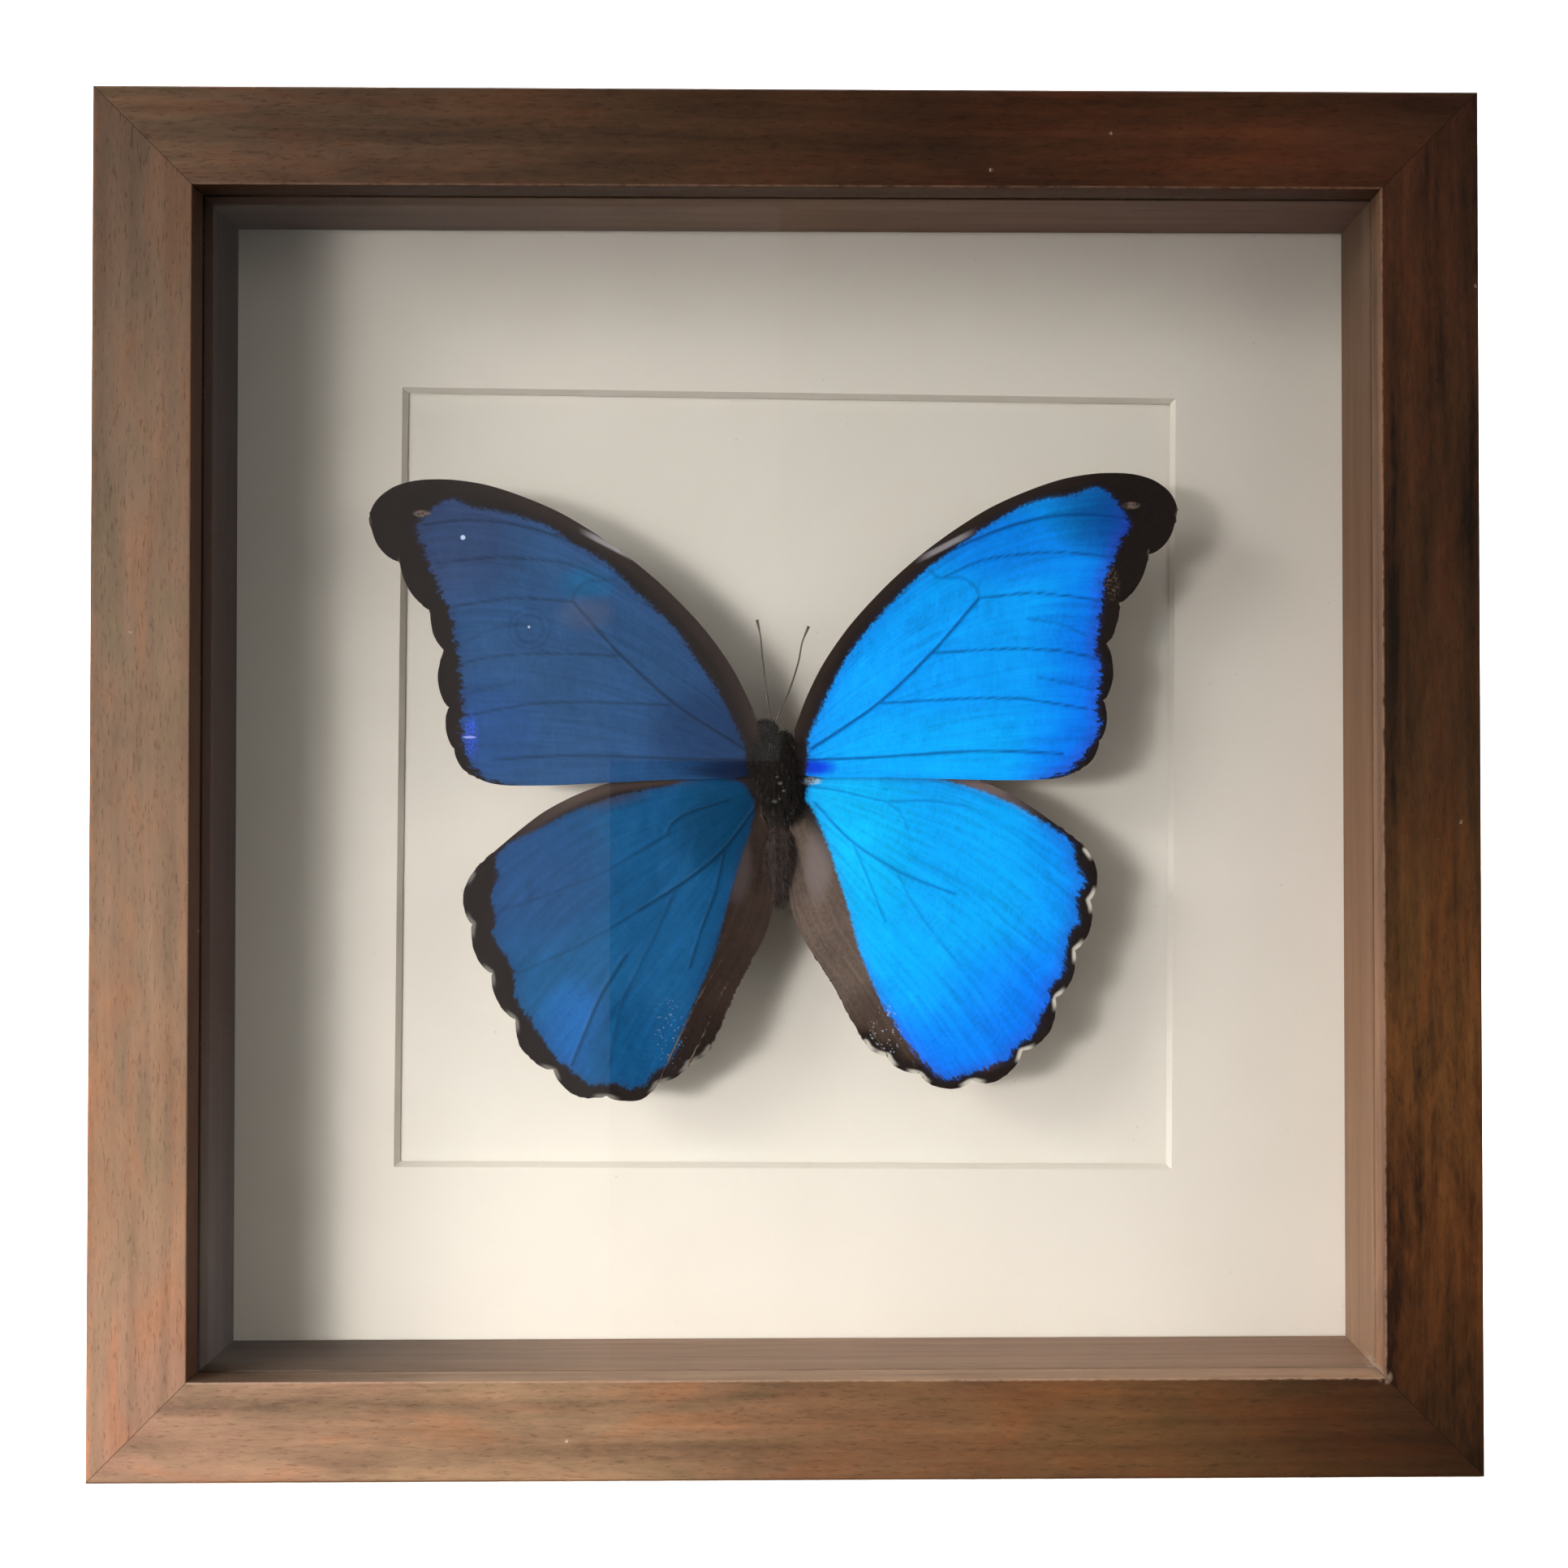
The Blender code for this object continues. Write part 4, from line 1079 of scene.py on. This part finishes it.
def scales(name, hue, vein_tone, gloss, seed, pools=(), fray=1.0, painted_glow=0.0, deepen=0.0):
    """pools are soft areas of another blue: a place, two radii and a colour each."""
    brown = (0.030, 0.018, 0.014)
    # Painted glow: the blue field of the right wings emits light, though it is no lamp.
    skin = Finish(name, roughness=0.5, specular_ior_level=0.15, emission_strength=painted_glow)
    x, y, z = skin.place()
    uv = skin.node("ShaderNodeUVMap", {"uv_map": "wing"})
    u, v = (skin.node("ShaderNodeSeparateXYZ", None, [uv], out=axis) for axis in (0, 1))
    traits = ("vein", "blue", "margin", "costa", "notch", "face")
    parts = {"x": abs(x - axis_x / MM), "z": z - centre_z / MM, "u": u, "gloss": gloss, "painted_glow": painted_glow}
    parts.update({trait: skin.attribute(trait) for trait in traits})

    comb = skin.noise(skin.vector(u * 75, v * 20, seed), 1, 3, 0.7)
    dust = skin.noise(skin.spot, 1.5, 4, 0.8)
    rows = skin.noise(skin.vector(u * 14, v * 130, seed), 1, 3, 0.7)
    rays = skin.noise(skin.vector(u * 42, v * 3.0, seed + 4), 1, 4, 0.65)
    cloud = skin.noise(skin.spot, 0.11, 4, 0.6)
    outer = 1.0 - parts["margin"].between(6.0, 14.0) * 0.85
    ragged = (parts["blue"] + (comb - 0.5) * outer * 4.5 * fray + (dust - 0.5) * 2.6 * fray).between(-0.35, 0.45)
    fade = parts["blue"].between(-1.3, 1.9)
    field = (ragged * 0.85 + fade * 0.15) * parts["blue"].between(-2.2, -1.0)

    for at, radii, tone in pools:
        hue = skin.mix(spot_mask(skin, parts, *at, *radii, 0.0), hue, tone)
    edge = (1.0 - (parts["blue"] + (rays - 0.5) * 4).between(0.0, 3.2)) * 0.35
    hue = skin.tint(edge, hue, (1.0, 0.70, 0.85))
    hue = skin.mix((1.0 - parts["blue"].between(0.4, 3.4)) * outer * deepen * 0.45, hue, (0.030, 0.085, 0.62))
    hue = skin.tint((1.0 - (parts["margin"] + (rays - 0.5) * 6).between(3.0, 17.0)) * deepen, hue, (1.0, 0.50, 0.93))
    grain = (dust - 0.5) * 0.55 + (rows - 0.5) * 0.40 + (rays - 0.5) * 0.85 + (cloud - 0.5) * 0.35 + 1.0
    hue = skin.tint(1.0, hue, grain.larger(0.2))
    hue = skin.mix((parts["vein"] * 0.85).clamp(), hue, vein_tone)

    dark = skin.mix(dust.between(0.30, 0.70) * 0.6, (0.008, 0.004, 0.003), (0.021, 0.013, 0.010))
    dark = skin.mix((1.0 - parts["costa"].between(0.5, 3.2)) * (1.0 - v.between(0.55, 0.95)), dark, brown)
    parts.update({"dust": dust, "rows": rows, "rays": rays, "field": field, "cloud": cloud, "v": v})
    return skin, skin.mix(field, dark, hue), parts


def close_scales(skin, colour, parts):
    """Adds the plain brown underside, and wires the colour and relief that every wing shares."""
    field, dust, face = parts["field"] * parts["face"].between(0.3, 0.9), parts["dust"], parts["face"]
    underside = skin.mix(parts["cloud"].between(0.35, 0.65), (0.070, 0.045, 0.032), (0.125, 0.088, 0.062))
    colour = skin.mix(face.between(0.3, 0.9), underside, colour)
    skin.set(base_color=colour, metallic=field * parts["gloss"], roughness=0.70 - field * 0.25 + dust * 0.12)
    # The painted glow: the blue field emits its own colour.
    if parts["painted_glow"]:
        skin.set(emission_color=skin.mix(field, (0.0, 0.0, 0.0), colour))
    relief = dust * 0.7 + parts["rows"] * 0.6 + parts["rays"] * 0.8
    skin.bump(relief, 0.06 * MM, 0.6)
    return skin.material


def spot_mask(skin, parts, x, z, radius_x, radius_z=None, core=0.25):
    """1 at a place on the wing, fading to 0 at the given radii."""
    dx = (parts["x"] - x) / radius_x
    dz = (parts["z"] - z) / (radius_z or radius_x)
    return 1.0 - (dx * dx + dz * dz).between(core, 1.0)


# %% [markdown]
# ## The forewings
# Both have a wide dark tip and a brown front edge with one pale streak. The right one faces the
# light, and its bright azure and faint glow are painted light. The left one turns away from it: its
# dark steel blue is painted shade. It carries two white specks and a violet glint.

# %% Build and finish the forewings
# Painted light and shade: the right wing's tones are the lit look of the blue scales, the left wing's the shaded look.
FORE_LIT_AND_SHADED_TONES = {
    "right": {
        "hue": (0.0, 0.355, 1.0), "vein": (0.0, 0.045, 0.24), "fray": 1.0, "painted_glow": 0.13, "gloss": 0.35, "deepen": 0.85,
        "pools": [
            ((44, 44), (18, 9), (0.0, 0.25, 0.90)), ((65, 50), (17, 11), (0.0, 0.11, 0.38)),
            ((30, 6), (26, 9), (0.0, 0.41, 1.0)), ((6.5, 2.7), (5.6, 2.0), (0.0, 0.05, 0.72)),
        ],
    },
    "left": {
        "hue": (0.018, 0.078, 0.205), "vein": (0.004, 0.014, 0.038), "fray": 1.15, "painted_glow": 0.0, "gloss": 0.35,
        "deepen": 0.0,
        "pools": [
            ((62, 45), (18, 16), (0.024, 0.058, 0.155)), ((12, 9), (16, 12), (0.008, 0.042, 0.130)),
            ((55, 10), (13, 12), (0.014, 0.068, 0.215)), ((36, 37), (7, 4), (0.004, 0.100, 0.250)),
            ((5, 2.2), (14, 2.8), (0.002, 0.010, 0.042)),
        ],
    },
}
for side in ("right", "left"):
    tone = FORE_LIT_AND_SHADED_TONES[side]
    skin, colour, parts = scales(
        f"forewing_{side}", tone["hue"], tone["vein"], tone["gloss"], 2.0, tone["pools"], tone["fray"],
        tone["painted_glow"], tone["deepen"],
    )
    streak_x = (parts["x"] - 28.0) / 10
    band = (parts["z"] - 42.4) - (parts["x"] - 28.0) * 0.52
    streak = (1.0 - abs(band).between(0.25, 0.85)) * (1.0 - abs(streak_x - 0.35).between(0.2, 0.62))
    colour = skin.mix(streak * 0.75, colour, (0.42, 0.38, 0.40))
    apex = spot_mask(skin, parts, 66.3, 51.8 if side == "right" else 50.0, 1.9, 0.8)
    colour = skin.mix(apex * parts["dust"].between(0.35, 0.6) * 0.6, colour, (0.30, 0.22, 0.17))
    if side == "left":
        for at, radius in (((58.7, 45.6), 0.55), ((46.4, 28.9), 0.3)):
            colour = skin.mix(spot_mask(skin, parts, *at, radius), colour, (0.55, 0.68, 0.85))
        dx, dz = parts["x"] - 46.3, parts["z"] - 28.6
        gap = dx * dx + dz * dz
        for start in (4.2, 12.0):
            ring = gap.between(start, start + 2.0) * (1.0 - gap.between(start + 2.4, start + 5.2))
            colour = skin.tint(ring * 0.5, colour, (0.55, 0.65, 0.75))
        sparkle = skin.noise(skin.spot, 3.2, 3, 0.7).between(0.46, 0.58)
        glint = spot_mask(skin, parts, 57.2, 8.4, 1.9, 5.2, 0.0) * sparkle
        colour = skin.mix(glint * parts["field"] * 0.85, colour, (0.04, 0.10, 0.85))
        colour = skin.mix(spot_mask(skin, parts, 57.4, 8.3, 1.5, 0.30) * 0.8, colour, (0.35, 0.40, 0.85))
        fold = spot_mask(skin, parts, 36.0, 31.5, 6.5, 4.0, 0.0)
        colour = skin.mix(fold * 0.35, colour, (0.10, 0.115, 0.19))
    else:
        crumbs = skin.noise(skin.spot, 1.7, 3, 0.7).between(0.50, 0.60)
        chips = spot_mask(skin, parts, 62.6, 37.0, 1.9, 4.0, 0.0) * crumbs * (1.0 - parts["field"])
        colour = skin.mix(chips * 0.6, colour, (0.21, 0.15, 0.10))
    finish = close_scales(skin, colour, parts)
    strength = 1.0 if side == "right" else 0.75
    veins = [(line, width * 0.72, min(share + 0.15, 1.0) * strength) for line, width, share in FORE_VEINS]
    seed = 3.1 if side == "right" else 8.4
    sheet = wing(f"fore_{side}", side, FORE, veins, FORE_FIELD[side], fore_lift, 150, 220, seed)
    finish_piece(sheet, finish, [f"forewing_{side}"], 60)

# %% [markdown]
# ## The hindwings
# They sit a little deeper than the forewings and tuck under them. Their inner margins are bare
# brown and fold around the abdomen. Cream fringe shows in the notches of the margin. As on the
# forewings, the right one's bright blue, paler brown and glow are painted light, and the left one's
# darker blue and brown are painted shade.

# %% Build and finish the hindwings
# Painted light and shade: the right hindwing's tones are lit, the left one's are shaded copies of the same blue and
# brown.
HIND_LIT_AND_SHADED_TONES = {
    "right": {
        "hue": (0.0, 0.41, 1.0), "vein": (0.0, 0.15, 0.52), "fray": 0.7, "painted_glow": 0.10, "gloss": 0.30, "deepen": 0.55,
        "pools": [
            ((12, -12), (18, 24), (0.0, 0.46, 0.93)), ((44, -44), (20, 18), (0.0, 0.28, 0.97)),
            ((28, -52), (16, 12), (0.0, 0.29, 0.98)),
        ],
        "brown": ((0.080, 0.055, 0.043), (0.165, 0.120, 0.093)), "shine": (0.20, 0.155, 0.145), "fringe": 0.9,
        "strip": (0.22, 0.155, 0.14),
    },
    "left": {
        "hue": (0.004, 0.082, 0.215), "vein": (0.002, 0.022, 0.052), "fray": 0.6, "painted_glow": 0.0, "gloss": 0.35,
        "deepen": 0.0,
        "pools": [
            ((50, -18), (24, 18), (0.010, 0.064, 0.185)), ((9, -8), (14, 12), (0.0, 0.049, 0.130)),
            ((38, -46), (8, 11), (0.008, 0.115, 0.36)), ((27, -50), (12, 12), (0.0, 0.066, 0.185)),
            ((36, -1), (14, 5), (0.045, 0.055, 0.090)),
        ],
        "brown": ((0.020, 0.010, 0.007), (0.044, 0.026, 0.018)), "shine": (0.070, 0.052, 0.050), "fringe": 0.25,
        "strip": (0.085, 0.055, 0.045),
    },
}
for side in ("right", "left"):
    tone = HIND_LIT_AND_SHADED_TONES[side]
    skin, colour, parts = scales(
        f"hindwing_{side}", tone["hue"], tone["vein"], tone["gloss"], 6.0, tone["pools"], tone["fray"],
        tone["painted_glow"], tone["deepen"],
    )
    inner = 1.0 - parts["u"].between(0.30, 0.55)
    mottle = parts["rays"] * 0.35 + parts["dust"] * 0.35 + parts["cloud"] * 0.3
    brown = skin.mix(mottle.between(0.36, 0.64), *tone["brown"])
    brown = skin.mix(spot_mask(skin, parts, 7.6, -15.5, 3.4, 9.0, 0.0) * 0.85, brown, tone["shine"])
    brown = skin.tint(1.0 - parts["margin"].between(2.0, 12.0), brown, (0.50, 0.42, 0.36))
    bare = inner * (1.0 - parts["field"]) * parts["margin"].between(1.2, 4.0)
    colour = skin.mix(bare, colour, brown)
    upper = (1.0 - parts["costa"].between(0.9, 2.6)) * parts["x"].between(12, 18) * (1.0 - parts["x"].between(38, 52))
    colour = skin.mix(upper * (1.0 - parts["field"] * 0.7) * 0.85, colour, tone["strip"])
    if side == "right":
        tuft = spot_mask(skin, parts, 6.0, 0.2, 2.8, 0.9) * parts["dust"].between(0.30, 0.62)
        colour = skin.mix(tuft * 0.8, colour, (0.42, 0.55, 0.66))
    dots = 1.0 - skin.cells(skin.spot, 1.3).between(0.16, 0.30)
    bare_specks = spot_mask(skin, parts, 20.0, -47.0, 4.0, 9.0, 0.0) * dots * parts["cloud"].between(0.44, 0.52)
    colour = skin.mix(bare_specks * (0.6 if side == "right" else 0.2), colour, (0.50, 0.58, 0.70))
    fringe = (1.0 - parts["margin"].between(0.35, 0.95)) * (1.0 - parts["notch"].between(1.2, 3.0))
    colour = skin.mix(fringe * tone["fringe"], colour, (0.66, 0.61, 0.52))
    finish = close_scales(skin, colour, parts)
    veins = HIND_VEINS_RIGHT if side == "right" else HIND_VEINS_LEFT
    veins = [(line, width * 0.75, min(share + 0.1, 1.0) * 0.9) for line, width, share in veins]
    seed = 5.2 if side == "right" else 9.6
    sheet = wing(f"hind_{side}", side, HIND, veins, HIND_FIELD[side], hind_lift, 190, 170, seed)
    finish_piece(sheet, finish, [f"hindwing_{side}"], 60)

# %% [markdown]
# ## The body
# Head, thorax and abdomen are dark and furry. Each is a rounded form with shallow rings, made from
# a sphere that is pulled to length, and covered with short tapering hairs that lie back
# along the body. One three-sided hair is modelled and copied by the hundred into the same mesh.

# %% Rounded forms


def rounded(name, node, rings=0.0, drop=0.0, lean=0.0, broad=0.0, full=0.0, forward=0.0):
    """A sphere stretched to fill the node's box. Drop makes its lower end slimmer, broad widens its
    shoulders, full squares it off, and its top can lean sideways and forward."""
    low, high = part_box(node)
    middle, size = (low + high) / 2, (high - low) / 2
    begin()
    bpy.ops.mesh.primitive_uv_sphere_add(segments=48, ring_count=40, radius=1)
    piece = bpy.context.object
    piece.name = piece.data.name = name
    for point in piece.data.vertices:
        t = point.co.z
        slim = 1 - drop * (1 - t) / 2
        ring = 1 + rings * math.sin(t * 17)
        bumps = 1 + 0.05 * noise.noise(point.co * 5)
        slim += broad * math.exp(-(((t - 0.45) / 0.5) ** 2))
        slim *= max(math.sqrt(max(1 - t * t, 0)), 0.2) ** -full
        point.co = (
            middle.x + point.co.x * size.x * slim * ring * bumps + lean * t,
            middle.y + point.co.y * size.y * min(slim, 1) * ring * bumps - forward * max(t, 0),
            middle.z + t * size.z,
        )
    return piece


def furry(piece, count, length, width, lay, seed, region=None):
    """Adds short hairs to the piece. lay is the way they lie; region picks where they grow."""
    rng = np.random.default_rng(seed)
    faces = [f for f in piece.data.polygons if region is None or region(f.center, f.normal)]
    # A sphere's own order of faces can change from run to run, so they are put in a fixed order.
    faces.sort(key=lambda f: [round(c / MM, 2) for c in f.center])
    areas = np.array([f.area for f in faces])
    chosen = rng.choice(len(faces), count, p=areas / areas.sum())
    points, triangles, stain_and_light_tones = [], [], []
    for index in chosen:
        face = faces[index]
        corners = sorted((piece.data.vertices[i].co for i in face.vertices), key=tuple)
        weights = rng.dirichlet(np.ones(len(corners)))
        base = sum((c * w for c, w in zip(corners, weights)), Vector())
        way = (face.normal * rng.uniform(0.35, 0.9) + Vector(lay) + Vector(rng.normal(0, 0.22, 3))).normalized()
        side = way.cross(face.normal if abs(way.dot(face.normal)) < 0.98 else Vector((1, 0, 0))).normalized()
        other = way.cross(side)
        reach = length * rng.uniform(0.55, 1.2)
        start = len(points)
        for k, thick in ((0, 1.0), (0.55, 0.75)):
            bend = Vector((0, 0, -1)) * reach * 0.12 * k
            centre = base + way * reach * k + bend
            for turn in (0, 2.094, 4.189):
                points.append(centre + (side * math.cos(turn) + other * math.sin(turn)) * width * thick)
        points.append(base + way * reach + Vector((0, 0, -1)) * reach * 0.25)
        for k in range(3):
            n = (k + 1) % 3
            triangles.append((start + k, start + n, start + 3 + n, start + 3 + k))
            triangles.append((start + 3 + k, start + 3 + n, start + 6))
        triangles.append((start + 2, start + 1, start))
        stain_and_light_tones.extend([rng.random()] * 7)
    mesh = bpy.data.meshes.new(piece.name + "_fur")
    mesh.from_pydata(points, [], triangles)
    mesh.attributes.new("tone", "FLOAT", "POINT").data.foreach_set("value", np.array(stain_and_light_tones, np.float32))
    fur = bpy.data.objects.new(piece.name + "_fur", mesh)
    bpy.context.scene.collection.objects.link(fur)
    piece.data.attributes.new("tone", "FLOAT", "POINT")
    pick(fur)
    piece.select_set(True)
    bpy.context.view_layer.objects.active = piece
    bpy.ops.object.join()
    return piece


# %% The furry finish


def fur_finish(name, dark, mid, pale, pale_share, flecks=0.0, glints=(), line=0.0):
    """glints are bright specks at a few places; line is how dark the middle of the back is."""
    fur = Finish(name, roughness=0.7, specular_ior_level=0.3, sheen_weight=0.05, sheen_roughness=0.5)
    x, y, z = fur.place()
    across, rise = x - axis_x / MM, z - centre_z / MM
    tone = fur.attribute("tone")
    fine = fur.noise(fur.spot, 2.2, 4, 0.7)
    colour = fur.mix((fine * 0.6 + tone * 0.5 - 0.1).clamp(), dark, mid)
    colour = fur.mix(tone.between(1 - pale_share - 0.01, 1 - pale_share + 0.01), colour, pale)
    fleck = (1.0 - fur.cells(fur.spot, 0.75).between(0.16, 0.24)) * fur.noise(fur.spot, 0.4, 2).between(0.52, 0.62)
    colour = fur.mix(fleck * flecks, colour, pale)
    for at_x, at_z, radius in glints:
        dx, dz = (across - at_x) / radius, (rise - at_z) / (radius * 0.7)
        colour = fur.mix((1.0 - (dx * dx + dz * dz).between(0.2, 1.0)) * fine.between(0.4, 0.5), colour, pale)
    colour = fur.tint((1.0 - abs(across - 0.1).between(0.15, 0.7)) * line, colour, (0.35, 0.33, 0.33))
    fur.set(base_color=colour, roughness=fine * 0.25 + 0.55)
    fur.bump(fine, 0.08 * MM, 0.7)
    return fur.material


# %% Thorax and abdomen
lie_back = (0, -0.15, -0.75)
thorax = rounded("thorax_body", "thorax", 0.02, lean=-1.7 * MM, broad=0.45, full=0.5, forward=1.0 * MM)
begin()
bpy.ops.mesh.primitive_uv_sphere_add(segments=24, ring_count=16, radius=1.5 * MM)
shoulder = bpy.context.object
shoulder.location = (axis_x + 1.0 * MM, mat_y - 12.6 * MM, centre_z + 7.9 * MM)
shoulder.scale = (1.0, 1.0, 1.1)
settle(shoulder)
pick(shoulder)
thorax.select_set(True)
bpy.context.view_layer.objects.active = thorax
bpy.ops.object.join()
thorax = furry(thorax, 5200, 1.9 * MM, 0.05 * MM, lie_back, 11, lambda m, n: n.y < 0.45)
bright_specks_on_back = [(0.5, -0.3, 0.55), (1.2, -1.7, 0.4), (-0.5, -3.7, 0.6), (-0.1, 0.9, 0.35), (0.4, -3.2, 0.35)]
thorax_fur = fur_finish(
    "thorax_fur", (0.010, 0.007, 0.006), (0.034, 0.024, 0.018), (0.40, 0.40, 0.36), 0.008, 0.35, bright_specks_on_back
)
finish_piece(thorax, thorax_fur, ["thorax"], 180)

abdomen = rounded("abdomen_body", "abdomen", 0.05, 0.35, broad=0.30, full=0.25)
abdomen_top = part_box("abdomen")[1].z
for point in abdomen.data.vertices:
    point.co += Vector((0.3, -2.7, -0.5)) * MM
    point.co.z -= 0.13 * (abdomen_top - point.co.z)
abdomen = furry(abdomen, 2400, 1.5 * MM, 0.045 * MM, (0, -0.1, -0.95), 12)
abdomen_fur = fur_finish(
    "abdomen_fur", (0.040, 0.026, 0.021), (0.135, 0.090, 0.074), (0.22, 0.17, 0.13), 0.02, line=0.8
)
finish_piece(abdomen, abdomen_fur, ["abdomen"], 180)

# %% Head with two eyes
head = rounded("head_body", "head")
head_low, head_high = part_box("head")
head_middle = (head_low + head_high) / 2
for reach in (-1, 1):
    begin()
    bpy.ops.mesh.primitive_uv_sphere_add(segments=28, ring_count=20, radius=0.95 * MM)
    eye = bpy.context.object
    eye.location = head_middle + Vector((reach * 1.45 * MM, -0.25 * MM, 0.25 * MM))
    eye.scale = (0.85, 1.0, 1.05)
    settle(eye)
    pick(eye)
    head.select_set(True)
    bpy.context.view_layer.objects.active = head
    bpy.ops.object.join()
head = furry(head, 1100, 1.2 * MM, 0.045 * MM, (0, -0.35, 0.1), 13, lambda m, n: abs(m.x - head_middle.x) < 1.5 * MM)
for point in head.data.vertices:
    point.co.x = head_middle.x + (point.co.x - head_middle.x) * 1.15 - 2.4 * MM
    point.co.z -= 0.6 * MM
head_fur = fur_finish("head_fur", (0.012, 0.009, 0.008), (0.045, 0.032, 0.025), (0.25, 0.2, 0.15), 0.02)
finish_piece(head, head_fur, ["head"], 180)

# %% [markdown]
# ## The antennae
# Two fine stalks of many short segments, each ending in a slim club. A thin bar is laid along the
# path by a bevelled curve, which also lets the thickness change from point to point.

# %% Antennae
horn = Finish("antenna_horn", roughness=0.45)
horn.place()
rings = horn.noise(horn.spot, 3.0, 2)
horn.set(base_color=horn.mix(rings, (0.045, 0.030, 0.022), (0.15, 0.11, 0.085)), roughness=rings * 0.3 + 0.3)
horn.bump(rings, 0.03 * MM, 0.5)
for side, path in (
    ("left", [(-1.5, 11.6, 12.0), (-1.8, 14.5, 12.4), (-2.3, 18.6, 12.8), (-2.9, 23.5, 13.2), (-3.2, 27.0, 13.3), (-3.9, 30.4, 13.3)]),
    ("right", [(-0.4, 11.3, 12.0), (0.7, 14.0, 12.4), (2.3, 17.6, 12.8), (3.9, 22.6, 13.2), (4.6, 26.2, 13.3), (5.8, 29.2, 13.3)]),
):
    data = bpy.data.curves.new(f"feeler_{side}", "CURVE")
    data.dimensions = "3D"
    data.bevel_depth = 0.15 * MM
    data.bevel_resolution = 4
    data.use_fill_caps = True
    spline = data.splines.new("POLY")
    line = curve([(x, z, lift) for x, z, lift in path], 14)
    spline.points.add(len(line) - 1)
    for index, (point, (x, z, lift)) in enumerate(zip(spline.points, line)):
        share = index / (len(line) - 1)
        point.co = (axis_x + x * MM, mat_y - lift * MM, centre_z + z * MM, 1)
        point.radius = (1.25 - 0.35 * share + 0.07 * (index % 2)) + 1.0 * max(0, (share - 0.86) / 0.14) ** 0.7
    feeler = bpy.data.objects.new(f"feeler_{side}", data)
    bpy.context.scene.collection.objects.link(feeler)
    pick(feeler)
    bpy.ops.object.convert(target="MESH")
    feeler = bpy.context.object
    finish_piece(feeler, horn.material, [f"antenna_{side}"], 60)

# %% [markdown]
# ## The hidden post
# A short cork post under the thorax carries the butterfly off the card.

# %% Cork post
low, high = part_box("cork_post")
begin()
bpy.ops.mesh.primitive_cylinder_add(
    vertices=32, radius=(high.x - low.x) / 2, depth=high.y - low.y, location=(low + high) / 2,
    rotation=(math.radians(90), 0, 0),
)
post = bpy.context.object
post.name = "post"
settle(post)
ease(post, lambda m, way: abs(way.y) < 0.5, 0.4 * MM, 3)
select_faces(post, lambda m, normal: True)
bpy.ops.mesh.subdivide(number_cuts=2)
bpy.ops.object.mode_set(mode="OBJECT")
for point in post.data.vertices:
    point.co += Vector((1, 0, 1)) * noise.noise(point.co * 900) * 0.12 * MM
cork = Finish("cork", roughness=0.9)
cork.place()
crumb = cork.cells(cork.spot, 1.4)
speckle = cork.noise(cork.spot, 1.8, 4, 0.7)
cork.set(base_color=cork.mix((crumb * 0.6 + speckle * 0.5).clamp(), (0.22, 0.12, 0.06), (0.52, 0.34, 0.19)))
cork.bump(crumb, 0.3 * MM, 0.6)
finish_piece(post, cork.material, ["cork_post"])

# %% [markdown]
# ## The size of the finished pieces
# The finished pieces have to stay within the box of the solid model. The box around them is printed.

# %% Print the box around the finished pieces
low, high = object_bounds()
print("visual box:", [round(v, 4) for v in (*low, *high)])
